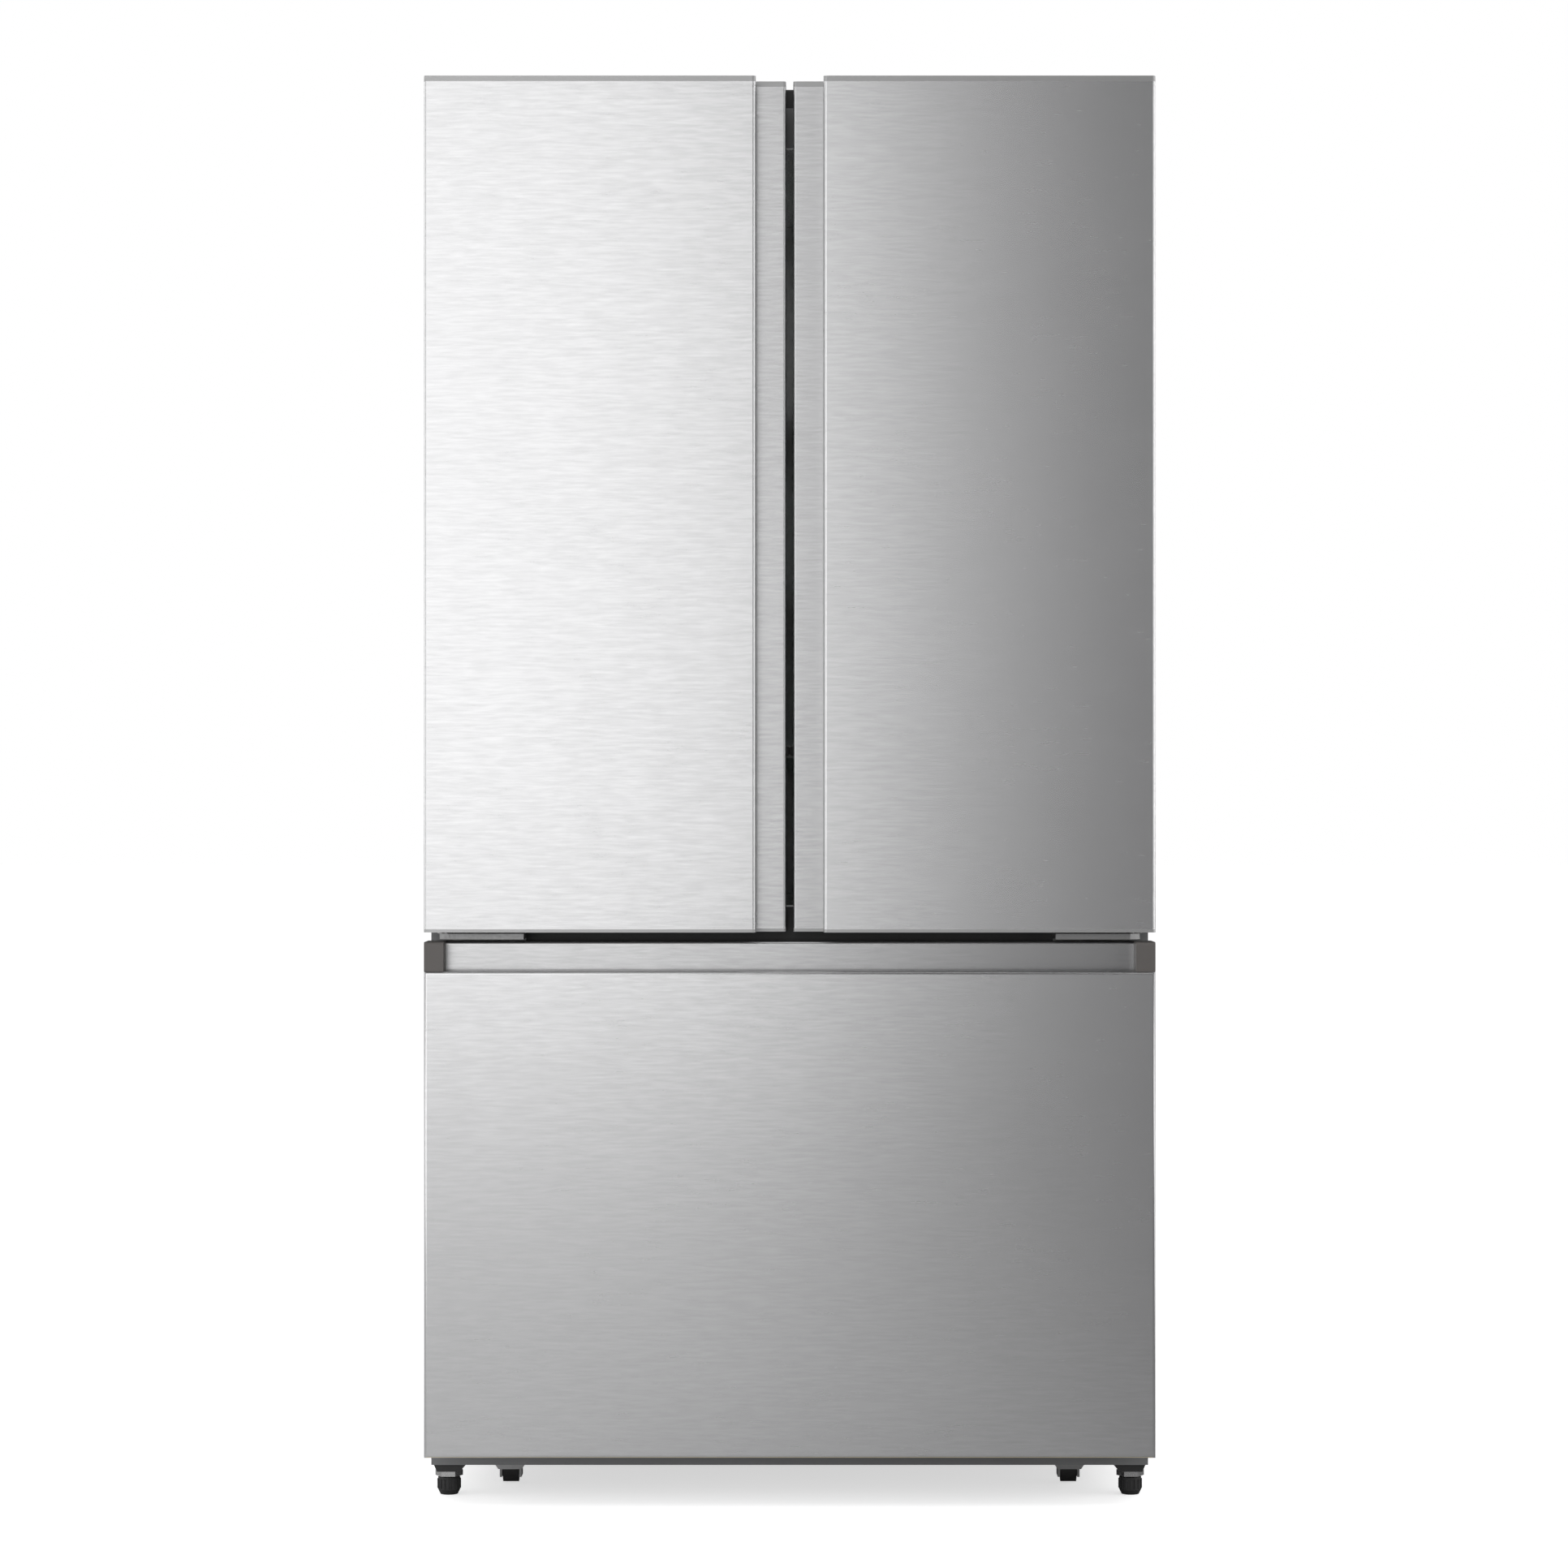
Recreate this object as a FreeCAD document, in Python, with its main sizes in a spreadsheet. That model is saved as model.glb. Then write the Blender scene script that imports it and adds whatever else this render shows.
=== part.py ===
"""French door refrigerator: two hinged upper doors over one pull-out freezer drawer.

Frame: millimetres, +Z up, origin at the middle of the appliance's footprint on the floor.
The doors face -Y and +X is to the right of a person who stands in front of them.
"""
import FreeCAD
import Part
import Sketcher
import os
import re

# Driving dimensions. Heights ("low", "top") are above the floor, "front" and "rear" are
# places along Y, "out" and "in" are distances from the middle plane.
SIZES = {
    # whole appliance and its outer case
    "wide": 908, "deep": 860, "tall": 1778,
    "case_half": 452, "case_low": 41, "case_top": 1752, "case_rear": 400,
    "sheet_metal": 1, "foam_low": 46, "wall_in": 402, "liner": 2,
    "fridge_low": 745, "fridge_top": 1702, "freezer_low": 110, "freezer_top": 665,
    "inside_rear": 335, "step_front": 150, "step_top": 320, "bay_front": 200, "bay_top": 270,
    "rail_thick": 20, "bumper_out": 330, "bumper_wide": 60, "bumper_tall": 24,
    "bumper_low": 420, "bumper_top": 1600,
    # doors: one section serves both doors and, turned on its side, the drawer front
    "door_thick": 70, "gasket_thick": 13.6, "gasket_gap": 0.4, "gasket_wide": 16,
    "door_low": 715, "door_gap": 9, "cap_top": 7, "cap_low": 4, "corner": 4,
    "panel_edge": 42, "hem": 11, "recess": 40, "pocket_in": 62, "plate": 2, "scoop": 14, "lip": 3,
    "hinge_out": 431, "hinge_back": 44, "pin": 6, "fit": 0.05, "hinge_arm": 10,
    "notch_in": 415, "notch_back": 17, "notch_floor": 1750.6, "cup": 7.6,
    "boss_in": 412, "boss_back": 28, "boss": 12, "pin_down": 7.2, "pin_up": 12.5,
    "gasket_out": 430, "gasket_in": 5, "gasket_low": 727, "gasket_top": 1746,
    "dyke_out": 396, "dyke_in": 62, "dyke_wide": 30, "dyke_deep": 38, "dyke_low": 772, "dyke_top": 1694,
    "bin_out": 364, "bin_in": 94, "bin_rear": -251, "bin_tall": 105, "bin_wall": 3, "bin_clear": 0.4,
    "bin_low": 800, "bin_step": 300, "bin_corner": 14,
    # folding centre mullion
    "mullion_out": 30, "mullion_axis": -336, "mullion_half": 9.8, "mullion_long": 58,
    "mullion_low": 762, "mullion_top": 1688, "mullion_pin": 3, "mullion_bore": 12, "mullion_reach": 9,
    "bracket_out": 60, "bracket_in": 48, "bracket_thick": 7, "bracket_gap": 2,
    # freezer drawer front
    "drawer_low": 62.7, "panel_top": 666.7, "drawer_top": 703, "end_cap_in": 430, "end_cap_back": 2,
    "scoop_low": 646, "drawer_gasket_out": 428, "drawer_gasket_low": 72, "drawer_gasket_top": 688,
    "inner_out": 449, "inner_low": 66, "inner_top": 700,
    "rib_out": 340, "rib_low": 130, "rib_top": 620, "rib_deep": 25,
    # freezer runners and baskets
    "slide_low": 300, "slide_tall": 44, "slide_front": -330, "slide_rear": 145, "slide_lip": 2,
    "outer_in": 389, "outer_out": 400, "middle_in": 390, "middle_out": 395, "inner_in": 382,
    "runner_out": 388, "slide_air": 4, "runner_air": 8, "foot_in": 360, "foot_low": 260, "foot_top": 384,
    "ledge_in": 388, "ledge_low": 408, "ledge_tall": 8, "ledge_rear": 270,
    "basket_out": 376, "basket_front": -328, "basket_rear": 140, "basket_low": 125, "basket_top": 385,
    "tray_out": 385, "tray_front": -322, "tray_rear": 255, "tray_low": 417, "tray_top": 590,
    "tub_wall": 3, "tub_corner": 18,
    # fresh food compartment
    "crisper_out": 396, "crisper_in": 5, "crisper_front": -165, "crisper_rear": 255,
    "crisper_low": 750, "crisper_top": 925,
    "shelf_out": 397, "shelf_in": 5, "shelf_front": -225, "shelf_rear": 317, "shelf_tall": 16,
    "shelf_rim": 14, "glass_low": 8, "glass_thick": 5,
    "cover_low": 935, "shelf_low": 1170, "shelf_step": 250,
    "track_half": 7, "track_outer": 380, "track_inner": 20, "track_deep": 14, "track_low": 965,
    "track_top": 1690, "track_slot": 4, "slot_tall": 16, "slot_step": 60, "slot_low": 985, "slot_deep": 9,
    # hinges
    "plate_thick": 5, "plate_out": 450, "plate_in": 372, "plate_rear": -286, "cover_front": -345,
    "cover_rear": -270, "cover_out": 451, "cover_high": 1776, "cover_hollow": 368, "cover_skin": 3,
    "middle_low": 705.5, "middle_thick": 7, "middle_in_edge": 332, "middle_nose": 7, "middle_front": 30,
    "flange_thick": 4, "flange_low": 699, "flange_tall": 23, "flange_out": 425,
    # base, feet and rollers
    "base_front": -340, "base_half": 450,
    "foot_out": 432, "foot_y": -315, "foot_r": 14, "foot_tip": 11, "foot_taper": 6, "foot_tall": 21.6,
    "shank_r": 5, "shank_top": 45.5, "shank_air": 0.3, "shank_hole": 7,
    "nut_low": 23.5, "nut_tall": 7, "nut_r": 17.5,
    "leg_low": 31, "leg_out": 450, "leg_wide": 42, "leg_front": -338, "leg_rear": -290, "leg_taper": 9,
    "roller_r": 18, "roller_half": 10, "axle_r": 4, "front_roller_out": 359, "front_roller_y": -230,
    "front_roller_z": 19.5, "rear_roller_out": 400, "rear_roller_y": 350,
    "cheek_gap": 1, "cheek_thick": 3, "cheek_deep": 14, "cheek_low": 9, "yoke_half": 29, "yoke_deep": 26,
    "yoke_thick": 2.5, "yoke_low": 21, "yoke_narrow": 15,
    # machine bay
    "shell_r": 78, "shell_x": -190, "shell_y": 300, "shell_low": 62, "shell_belly": 60, "shell_dome": 52,
    "mount_half": 95, "mount_deep": 80, "mount_thick": 4, "stub_r": 10, "stub_out": 75,
    "stub_deep": 60, "port_r": 5, "port_long": 14,
    "coil_out": 380, "coil_in": 130, "coil_front": 230, "coil_rear": 370, "coil_low": 70, "coil_top": 190,
    "fin": 1.5, "tube_r": 5,
    "fan_x": 80, "fan_y": 300, "fan_z": 130, "fan_half": 62, "fan_thick": 24, "fan_bore": 55,
    "hub_r": 17, "hub_long": 16, "blade_r": 51, "blade_half": 20, "blade_tilt": 7, "blade_thick": 2.4,
    "spider": 5, "spider_thick": 4, "motor_r": 15,
    "vent_wide": 6, "vent_tall": 60, "vent_step": 16, "vent_low": 90, "vent_out": 376,
    "machine_half": 440, "machine_low": 52, "machine_top": 269, "machine_thick": 2,
    "inlet_x": -370, "inlet_z": 225, "inlet_r": 4, "inlet_neck": 6.5, "inlet_flange": 11,
    "inlet_step": 4, "inlet_in": 4,
    # evaporator and its cover
    "evap_out": 240, "evap_front": 292, "evap_rear": 328, "evap_low": 400, "evap_top": 500,
    "evap_cover_front": 278, "evap_cover_thick": 4, "evap_cover_out": 398, "evap_cover_low": 324,
    "evap_cover_top": 661, "grille_low": 400, "grille_tall": 150, "grille_wide": 8, "grille_step": 24,
    "grille_out": 168,
    # fasteners
    "screw_r": 5, "screw_tall": 2.6, "screw_out": 440, "screw_in": 384, "screw_row": -305,
    "screw_front": -336,
}
BIN_COUNT = 3
SHELF_ROWS = 2
TRACK_SLOTS = 11
VENT_COUNT = 48
GRILLE_COUNT = 15
COIL_FINS = 18
EVAP_FINS = 34
FAN_BLADES = 5
BACK_SCREWS = 5

# Planes that many pieces share, as formulas of the driving dimensions.
FRONT = "(-deep/2)"
PANEL_BACK = "(-deep/2+door_thick)"
FOAM_BACK = "(-deep/2+door_thick-liner)"
CASE_FRONT = "(-deep/2+door_thick+gasket_thick+gasket_gap)"
SKIN_BACK = "(-deep/2+sheet_metal)"
HEM = "(-deep/2+hem)"
GRIP = "(-deep/2+recess)"
HINGE_Y = "(-deep/2+hinge_back)"
NOTCH_FRONT = "(-deep/2+notch_back)"
SKIN_LOW = "(door_low+cap_low)"
SKIN_TOP = "(tall-cap_top)"
DOOR_OUT = "(-wide/2)"
DOOR_IN = "(-door_gap/2)"
FOAM_REAR = "(case_rear-sheet_metal)"
FOAM_TOP = "(case_top-sheet_metal)"
FOAM_HALF = "(case_half-sheet_metal)"

doc = FreeCAD.newDocument("french_door_refrigerator")
sheet = doc.addObject("Spreadsheet::Sheet", "Sizes")
nodes = {}


def fill_sheet():
    """Puts every driving dimension in the sheet, under its own name."""
    for row, (name, size) in enumerate(SIZES.items(), start=1):
        sheet.set(f"A{row}", name)
        sheet.set(f"B{row}", str(size))
        sheet.setAlias(f"B{row}", name)
    doc.recompute()


def formula(text):
    """Turns the plain names of sizes into references to the sheet."""
    return re.sub(r"[a-z]\w*", lambda word: "Sizes." + word.group(0), str(text))


def size(text):
    """The number that a formula comes to now."""
    return float(sheet.evalExpression(formula(text)))


def bind(item, prop, text):
    item.setExpression(prop, formula(text))


def keep(item, label):
    """Names a finished sub-part, which is exported under that name."""
    item.Label = label
    nodes[label] = item
    return item


def rect(low_u, high_u, low_v, high_v):
    return [(low_u, low_v), (high_u, low_v), (high_u, high_v), (low_u, high_v)]


def disc(u, v, radius):
    return {"centre": (u, v), "radius": radius}


def new_body(name):
    return doc.addObject("PartDesign::Body", name)


def place_point(sketch, index, end, u, v):
    """Ties one sketch point to its place from the sketch's origin."""
    across = sketch.addConstraint(Sketcher.Constraint("DistanceX", -1, 1, index, end, size(u)))
    sketch.setExpression(f"Constraints[{across}]", formula(u))
    upward = sketch.addConstraint(Sketcher.Constraint("DistanceY", -1, 1, index, end, size(v)))
    sketch.setExpression(f"Constraints[{upward}]", formula(v))


def new_sketch(body, plane, offset, shape):
    """A sketch on one of the body's own origin planes: a circle or a closed polygon."""
    sketch = body.newObject("Sketcher::SketchObject", body.Name + "_sketch")
    base = [item for item in body.Origin.OriginFeatures if item.Role == plane + "_Plane"]
    sketch.AttachmentSupport = [(base[0], "")]
    sketch.MapMode = "FlatFace"
    bind(sketch, "AttachmentOffset.Base.z", offset)
    if isinstance(shape, dict):
        middle = FreeCAD.Vector(size(shape["centre"][0]), size(shape["centre"][1]), 0)
        sketch.addGeometry(Part.Circle(middle, FreeCAD.Vector(0, 0, 1), size(shape["radius"])))
        around = sketch.addConstraint(Sketcher.Constraint("Radius", 0, size(shape["radius"])))
        sketch.setExpression(f"Constraints[{around}]", formula(shape["radius"]))
        place_point(sketch, 0, 3, *shape["centre"])
        return sketch
    corners = [FreeCAD.Vector(size(u), size(v), 0) for u, v in shape]
    count = len(corners)
    for index in range(count):
        sketch.addGeometry(Part.LineSegment(corners[index], corners[(index + 1) % count]))
    for index in range(count):
        sketch.addConstraint(Sketcher.Constraint("Coincident", index, 2, (index + 1) % count, 1))
    for index, (u, v) in enumerate(shape):
        place_point(sketch, index, 1, u, v)
    return sketch


def grow(body, plane, low, high, shape):
    """Pads a sketch from one level to another. The XZ plane's normal is -Y, so it starts at the high."""
    offset = f"-({high})" if plane == "XZ" else low
    pad = body.newObject("PartDesign::Pad", body.Name + "_pad")
    pad.Profile = new_sketch(body, plane, offset, shape)
    bind(pad, "Length", f"({high})-({low})")
    body.Tip = pad
    doc.recompute()
    return pad


def cut(body, plane, low, high, shape):
    """Pockets a sketch between two levels and makes sure that it removed something."""
    before = body.Shape.Volume
    offset = f"-({low})" if plane == "XZ" else high
    pocket = body.newObject("PartDesign::Pocket", body.Name + "_pocket")
    pocket.Profile = new_sketch(body, plane, offset, shape)
    bind(pocket, "Length", f"({high})-({low})")
    body.Tip = pocket
    doc.recompute()
    if body.Shape.Volume > before - 0.01:
        raise RuntimeError("a pocket of " + body.Name + " removes nothing")
    return pocket


def repeat(body, feature, axis, length, count):
    """Repeats a feature along a straight line, count times in all."""
    pattern = body.newObject("PartDesign::LinearPattern", body.Name + "_row")
    pattern.Originals = [feature]
    line = [item for item in body.Origin.OriginFeatures if item.Role == axis + "_Axis"]
    pattern.Direction = (line[0], [""])
    bind(pattern, "Length", length)
    pattern.Occurrences = count
    body.Tip = pattern
    doc.recompute()
    return pattern


def soften(body, radius, axis, spots):
    """Fillets the straight edges along one axis that pass through the given spots."""
    keys = {"X": (1, 2), "Y": (0, 2), "Z": (0, 1)}[axis]
    wanted = [(size(u), size(v)) for u, v in spots]
    names = []
    for number, edge in enumerate(body.Shape.Edges, start=1):
        ends = [vertex.Point for vertex in edge.Vertexes]
        for u, v in wanted:
            near = [abs(end[keys[0]] - u) + abs(end[keys[1]] - v) < 0.01 for end in ends]
            if len(ends) == 2 and all(near):
                names.append(f"Edge{number}")
    if not names:
        raise RuntimeError("no edge of " + body.Name + " to round")
    base = body.Tip
    fillet = body.newObject("PartDesign::Fillet", body.Name + "_fillet")
    fillet.Base = (base, names)
    bind(fillet, "Radius", radius)
    body.Tip = fillet
    doc.recompute()
    return fillet


def block(name, across, along, upward):
    """A plain box between pairs of levels."""
    box = doc.addObject("Part::Box", name)
    pairs = zip(("Length", "Width", "Height"), ("x", "y", "z"), (across, along, upward))
    for prop, axis, (low, high) in pairs:
        bind(box, prop, f"({high})-({low})")
        bind(box, f"Placement.Base.{axis}", low)
    return box


def rod(name, base, direction, radius, length):
    """A round bar from a base point along +X, -X, +Y, +Z or -Z."""
    turns = {"X": (0, 1, 0, 90), "-X": (0, 1, 0, -90), "Y": (1, 0, 0, -90), "-Y": (1, 0, 0, 90),
             "Z": (0, 0, 1, 0), "-Z": (1, 0, 0, 180)}
    *axis, angle = turns[direction]
    bar = doc.addObject("Part::Cylinder", name)
    bind(bar, "Radius", radius)
    bind(bar, "Height", length)
    turn = FreeCAD.Rotation(FreeCAD.Vector(*axis), angle)
    bar.Placement = FreeCAD.Placement(FreeCAD.Vector(), turn)
    for name_of_axis, text in zip(("x", "y", "z"), base):
        bind(bar, f"Placement.Base.{name_of_axis}", text)
    return bar


def fuse(name, items):
    joined = doc.addObject("Part::MultiFuse", name)
    joined.Shapes = items
    return joined


def subtract(name, base, tool):
    rest = doc.addObject("Part::Cut", name)
    rest.Base = base
    rest.Tool = tool
    return rest


def group(name, items):
    """Several loose pieces that are one sub-part of the catalogue."""
    together = doc.addObject("Part::Compound", name)
    together.Links = items
    return together


def mirrored(name, source):
    """The same piece on the other side of the middle plane."""
    twin = doc.addObject("Part::Mirroring", name)
    twin.Source = source
    twin.Normal = (1, 0, 0)
    return twin


def pair(name, source):
    return group(name, [source, mirrored(name + "_right", source)])


def tub(name, across, along, upward, wall, corner):
    """An open box with rounded upright corners."""
    body = new_body(name)
    outer = rect(*across, *along)
    grow(body, "XY", *upward, outer)
    low_x, high_x = (f"{across[0]}+{wall}", f"{across[1]}-{wall}")
    low_y, high_y = (f"{along[0]}+{wall}", f"{along[1]}-{wall}")
    inner = rect(low_x, high_x, low_y, high_y)
    cut(body, "XY", f"{upward[0]}+{wall}", f"{upward[1]}+{wall}", inner)
    soften(body, f"{corner}-{wall}", "Z", inner)
    soften(body, corner, "Z", outer)
    return body


def ring(name, across, upward, wide, along):
    """A rectangular frame that faces along Y."""
    body = new_body(name)
    grow(body, "XZ", *along, rect(*across, *upward))
    inner = rect(f"{across[0]}+{wide}", f"{across[1]}-{wide}", f"{upward[0]}+{wide}", f"{upward[1]}-{wide}")
    cut(body, "XZ", *along, inner)
    return body


# ---------------------------------------------------------------- case and liners

def make_case():
    """Steel wrapper, foam walls, the two liners and the rail between the compartments."""
    body = new_body("wrapper")
    case = rect("-case_half", "case_half", CASE_FRONT, "case_rear")
    grow(body, "XY", "case_low", "case_top", case)
    hollow = rect(f"-{FOAM_HALF}", FOAM_HALF, f"{CASE_FRONT}+sheet_metal", "case_rear+liner")
    cut(body, "XY", "case_low-liner", FOAM_TOP, hollow)
    mouth = rect("-wall_in", "wall_in", "freezer_low", "fridge_top")
    cut(body, "XZ", f"{CASE_FRONT}-liner", f"{CASE_FRONT}+liner", mouth)
    keep(body, "outer_wrapper")

    start = f"({CASE_FRONT}+sheet_metal)"
    span = ("-wall_in", "wall_in")
    rail_back = f"({CASE_FRONT}+rail_thick)"
    side = block("side_foam", (f"-{FOAM_HALF}", "-wall_in"), (start, FOAM_REAR), ("foam_low", FOAM_TOP))
    walls = [
        side,
        mirrored("side_foam_right", side),
        block("top_foam", span, (start, FOAM_REAR), ("fridge_top", FOAM_TOP)),
        block("rear_foam", span, ("inside_rear", FOAM_REAR), ("step_top", "fridge_top")),
        block("middle_foam", span, (rail_back, "inside_rear"), ("freezer_top", "fridge_low")),
        block("floor_foam", span, (start, "step_front"), ("foam_low", "freezer_low")),
        block("step_foam", span, ("step_front", "bay_front"), ("foam_low", "step_top")),
        block("bay_roof_foam", span, ("bay_front", FOAM_REAR), ("bay_top", "step_top")),
    ]
    keep(group("foam_walls", walls), "cabinet_foam")
    keep(block("rail", span, (CASE_FRONT, rail_back), ("freezer_top", "fridge_low")), "center_rail")

    body = new_body("upper_liner")
    grow(body, "XY", "fridge_low", "fridge_top", rect(*span, start, "inside_rear"))
    room = rect("-wall_in+liner", "wall_in-liner", f"{start}-liner", "inside_rear-liner")
    cut(body, "XY", "fridge_low+liner", "fridge_top-liner", room)
    keep(body, "fridge_liner")

    body = new_body("lower_liner")
    outer = [(start, "freezer_low"), ("step_front", "freezer_low"), ("step_front", "step_top"),
             ("inside_rear", "step_top"), ("inside_rear", "freezer_top"), (start, "freezer_top")]
    inner = [(f"{start}-liner", "freezer_low+liner"), ("step_front-liner", "freezer_low+liner"),
             ("step_front-liner", "step_top+liner"), ("inside_rear-liner", "step_top+liner"),
             ("inside_rear-liner", "freezer_top-liner"), (f"{start}-liner", "freezer_top-liner")]
    grow(body, "YZ", *span, outer)
    cut(body, "YZ", "-wall_in+liner", "wall_in-liner", inner)
    keep(body, "freezer_liner")


def make_back():
    """Rear panel with its wall bumpers, and the vented cover of the machine bay."""
    sheet_span = (f"-{FOAM_HALF}", FOAM_HALF)
    pieces = [block("rear_sheet", sheet_span, (FOAM_REAR, "case_rear"), ("bay_top", FOAM_TOP))]
    for name, low in (("low_bumper", "bumper_low"), ("high_bumper", "bumper_top")):
        bumper = block(name, ("-bumper_out-bumper_wide/2", "-bumper_out+bumper_wide/2"),
                       ("case_rear", "deep/2"), (low, f"{low}+bumper_tall"))
        pieces += [bumper, mirrored(name + "_right", bumper)]
    keep(group("rear_wall", pieces), "back_panel")

    body = new_body("bay_cover")
    plate = rect("-machine_half", "machine_half", "machine_low", "machine_top")
    back = ("case_rear", "case_rear+machine_thick")
    grow(body, "XZ", *back, plate)
    through = ("case_rear-liner", "case_rear+machine_thick+liner")
    slot = rect("-vent_out", "-vent_out+vent_wide", "vent_low", "vent_low+vent_tall")
    vents = cut(body, "XZ", *through, slot)
    repeat(body, vents, "X", f"vent_step*{VENT_COUNT - 1}", VENT_COUNT)
    cut(body, "XZ", *through, disc("inlet_x", "inlet_z", "inlet_neck"))
    keep(body, "machine_cover")

    body = new_body("gland")
    grow(body, "XZ", "case_rear-inlet_in", f"{back[1]}", disc("inlet_x", "inlet_z", "inlet_neck"))
    grow(body, "XZ", back[1], f"{back[1]}+inlet_step", disc("inlet_x", "inlet_z", "inlet_flange"))
    bore = disc("inlet_x", "inlet_z", "inlet_r")
    cut(body, "XZ", "case_rear-inlet_in", f"{back[1]}+inlet_step", bore)
    keep(body, "cord_inlet")


# ---------------------------------------------------------------- base, feet and rollers

def yoke(name, out, along, height):
    """A roller's steel bracket with its axle."""
    body = new_body(name)
    left = f"(-{out})"
    grow(body, "XY", "case_low-yoke_thick", "case_low",
         rect(f"{left}-yoke_half", f"{left}+yoke_half", f"{along}-yoke_deep", f"{along}+yoke_deep"))
    apron = [(f"{left}-yoke_half", "case_low"), (f"{left}-yoke_narrow", "yoke_low"),
             (f"{left}+yoke_narrow", "yoke_low"), (f"{left}+yoke_half", "case_low")]
    grow(body, "XZ", f"{along}-yoke_deep", f"{along}-yoke_deep+yoke_thick", apron)
    reach = "(roller_half+cheek_gap)"
    for low, high in ((f"{left}-{reach}-cheek_thick", f"{left}-{reach}"),
                      (f"{left}+{reach}", f"{left}+{reach}+cheek_thick")):
        grow(body, "XY", "cheek_low", "case_low", rect(low, high, f"{along}-cheek_deep", f"{along}+cheek_deep"))
    grow(body, "YZ", f"{left}-{reach}-cheek_thick", f"{left}+{reach}+cheek_thick", disc(along, height, "axle_r"))
    return body


def roller(name, label, out, along, height, side):
    """A plain wheel on a running fit over its axle."""
    body = new_body(name)
    middle = f"({side}{out})"
    reach = (f"{middle}-roller_half", f"{middle}+roller_half")
    rim = disc(along, height, "roller_r")
    grow(body, "YZ", *reach, rim)
    cut(body, "YZ", *reach, disc(along, height, "axle_r+fit"))
    keep(body, label)


def foot(name, label, side):
    """A screw-in levelling foot: tapered pad and plain shank."""
    place = (f"{side}foot_out", "foot_y")
    tip = doc.addObject("Part::Cone", name + "_tip")
    bind(tip, "Radius1", "foot_tip")
    bind(tip, "Radius2", "foot_r")
    bind(tip, "Height", "foot_taper")
    bind(tip, "Placement.Base.x", place[0])
    bind(tip, "Placement.Base.y", place[1])
    pad = rod(name + "_pad", (*place, "foot_taper"), "Z", "foot_r", "foot_tall-foot_taper")
    shank = rod(name + "_shank", (*place, "foot_tall"), "Z", "shank_r", "shank_top-foot_tall")
    keep(fuse(name, [tip, pad, shank]), label)


def make_base():
    """Base pan, leg brackets, lock nuts, feet, roller yokes and rollers."""
    body = new_body("pan")
    grow(body, "XY", "case_low", "foam_low", rect("-base_half", "base_half", "base_front", FOAM_REAR))
    for side in ("-", ""):
        cut(body, "XY", "case_low", "foam_low", disc(f"{side}foot_out", "foot_y", "shank_hole"))
    keep(body, "base_frame")

    body = new_body("leg")
    wedge = [("-leg_out", "case_low"), ("-leg_out+leg_taper/2", "leg_low"),
             ("-leg_out+leg_wide-leg_taper", "leg_low"), ("-leg_out+leg_wide", "case_low")]
    grow(body, "XZ", "leg_front", "leg_rear", wedge)
    cut(body, "XY", "leg_low", "case_low", disc("-foot_out", "foot_y", "shank_r+shank_air"))
    keep(pair("legs", body), "leg_brackets")

    hexagon = doc.addObject("Part::Prism", "nut_hexagon")
    hexagon.Polygon = 6
    bind(hexagon, "Circumradius", "nut_r")
    bind(hexagon, "Height", "nut_tall")
    for axis, text in (("x", "-foot_out"), ("y", "foot_y"), ("z", "nut_low")):
        bind(hexagon, f"Placement.Base.{axis}", text)
    hole = rod("nut_hole", ("-foot_out", "foot_y", "nut_low"), "Z", "shank_r+shank_air", "nut_tall")
    keep(pair("nuts", subtract("nut", hexagon, hole)), "lock_nuts")
    foot("left_foot_parts", "foot_left", "-")
    foot("right_foot_parts", "foot_right", "")

    front = ("front_roller_out", "front_roller_y", "front_roller_z")
    rear = ("rear_roller_out", "rear_roller_y", "roller_r")
    front_yoke = yoke("front_yoke", *front)
    rear_yoke = yoke("rear_yoke", *rear)
    sides = [front_yoke, mirrored("front_yoke_right", front_yoke)]
    sides += [rear_yoke, mirrored("rear_yoke_right", rear_yoke)]
    keep(group("yokes", sides), "roller_brackets")
    roller("wheel_fl", "roller_front_left", *front, "-")
    roller("wheel_fr", "roller_front_right", *front, "")
    roller("wheel_rl", "roller_rear_left", *rear, "-")
    roller("wheel_rr", "roller_rear_right", *rear, "")


# ---------------------------------------------------------------- hinges and top cover

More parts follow.
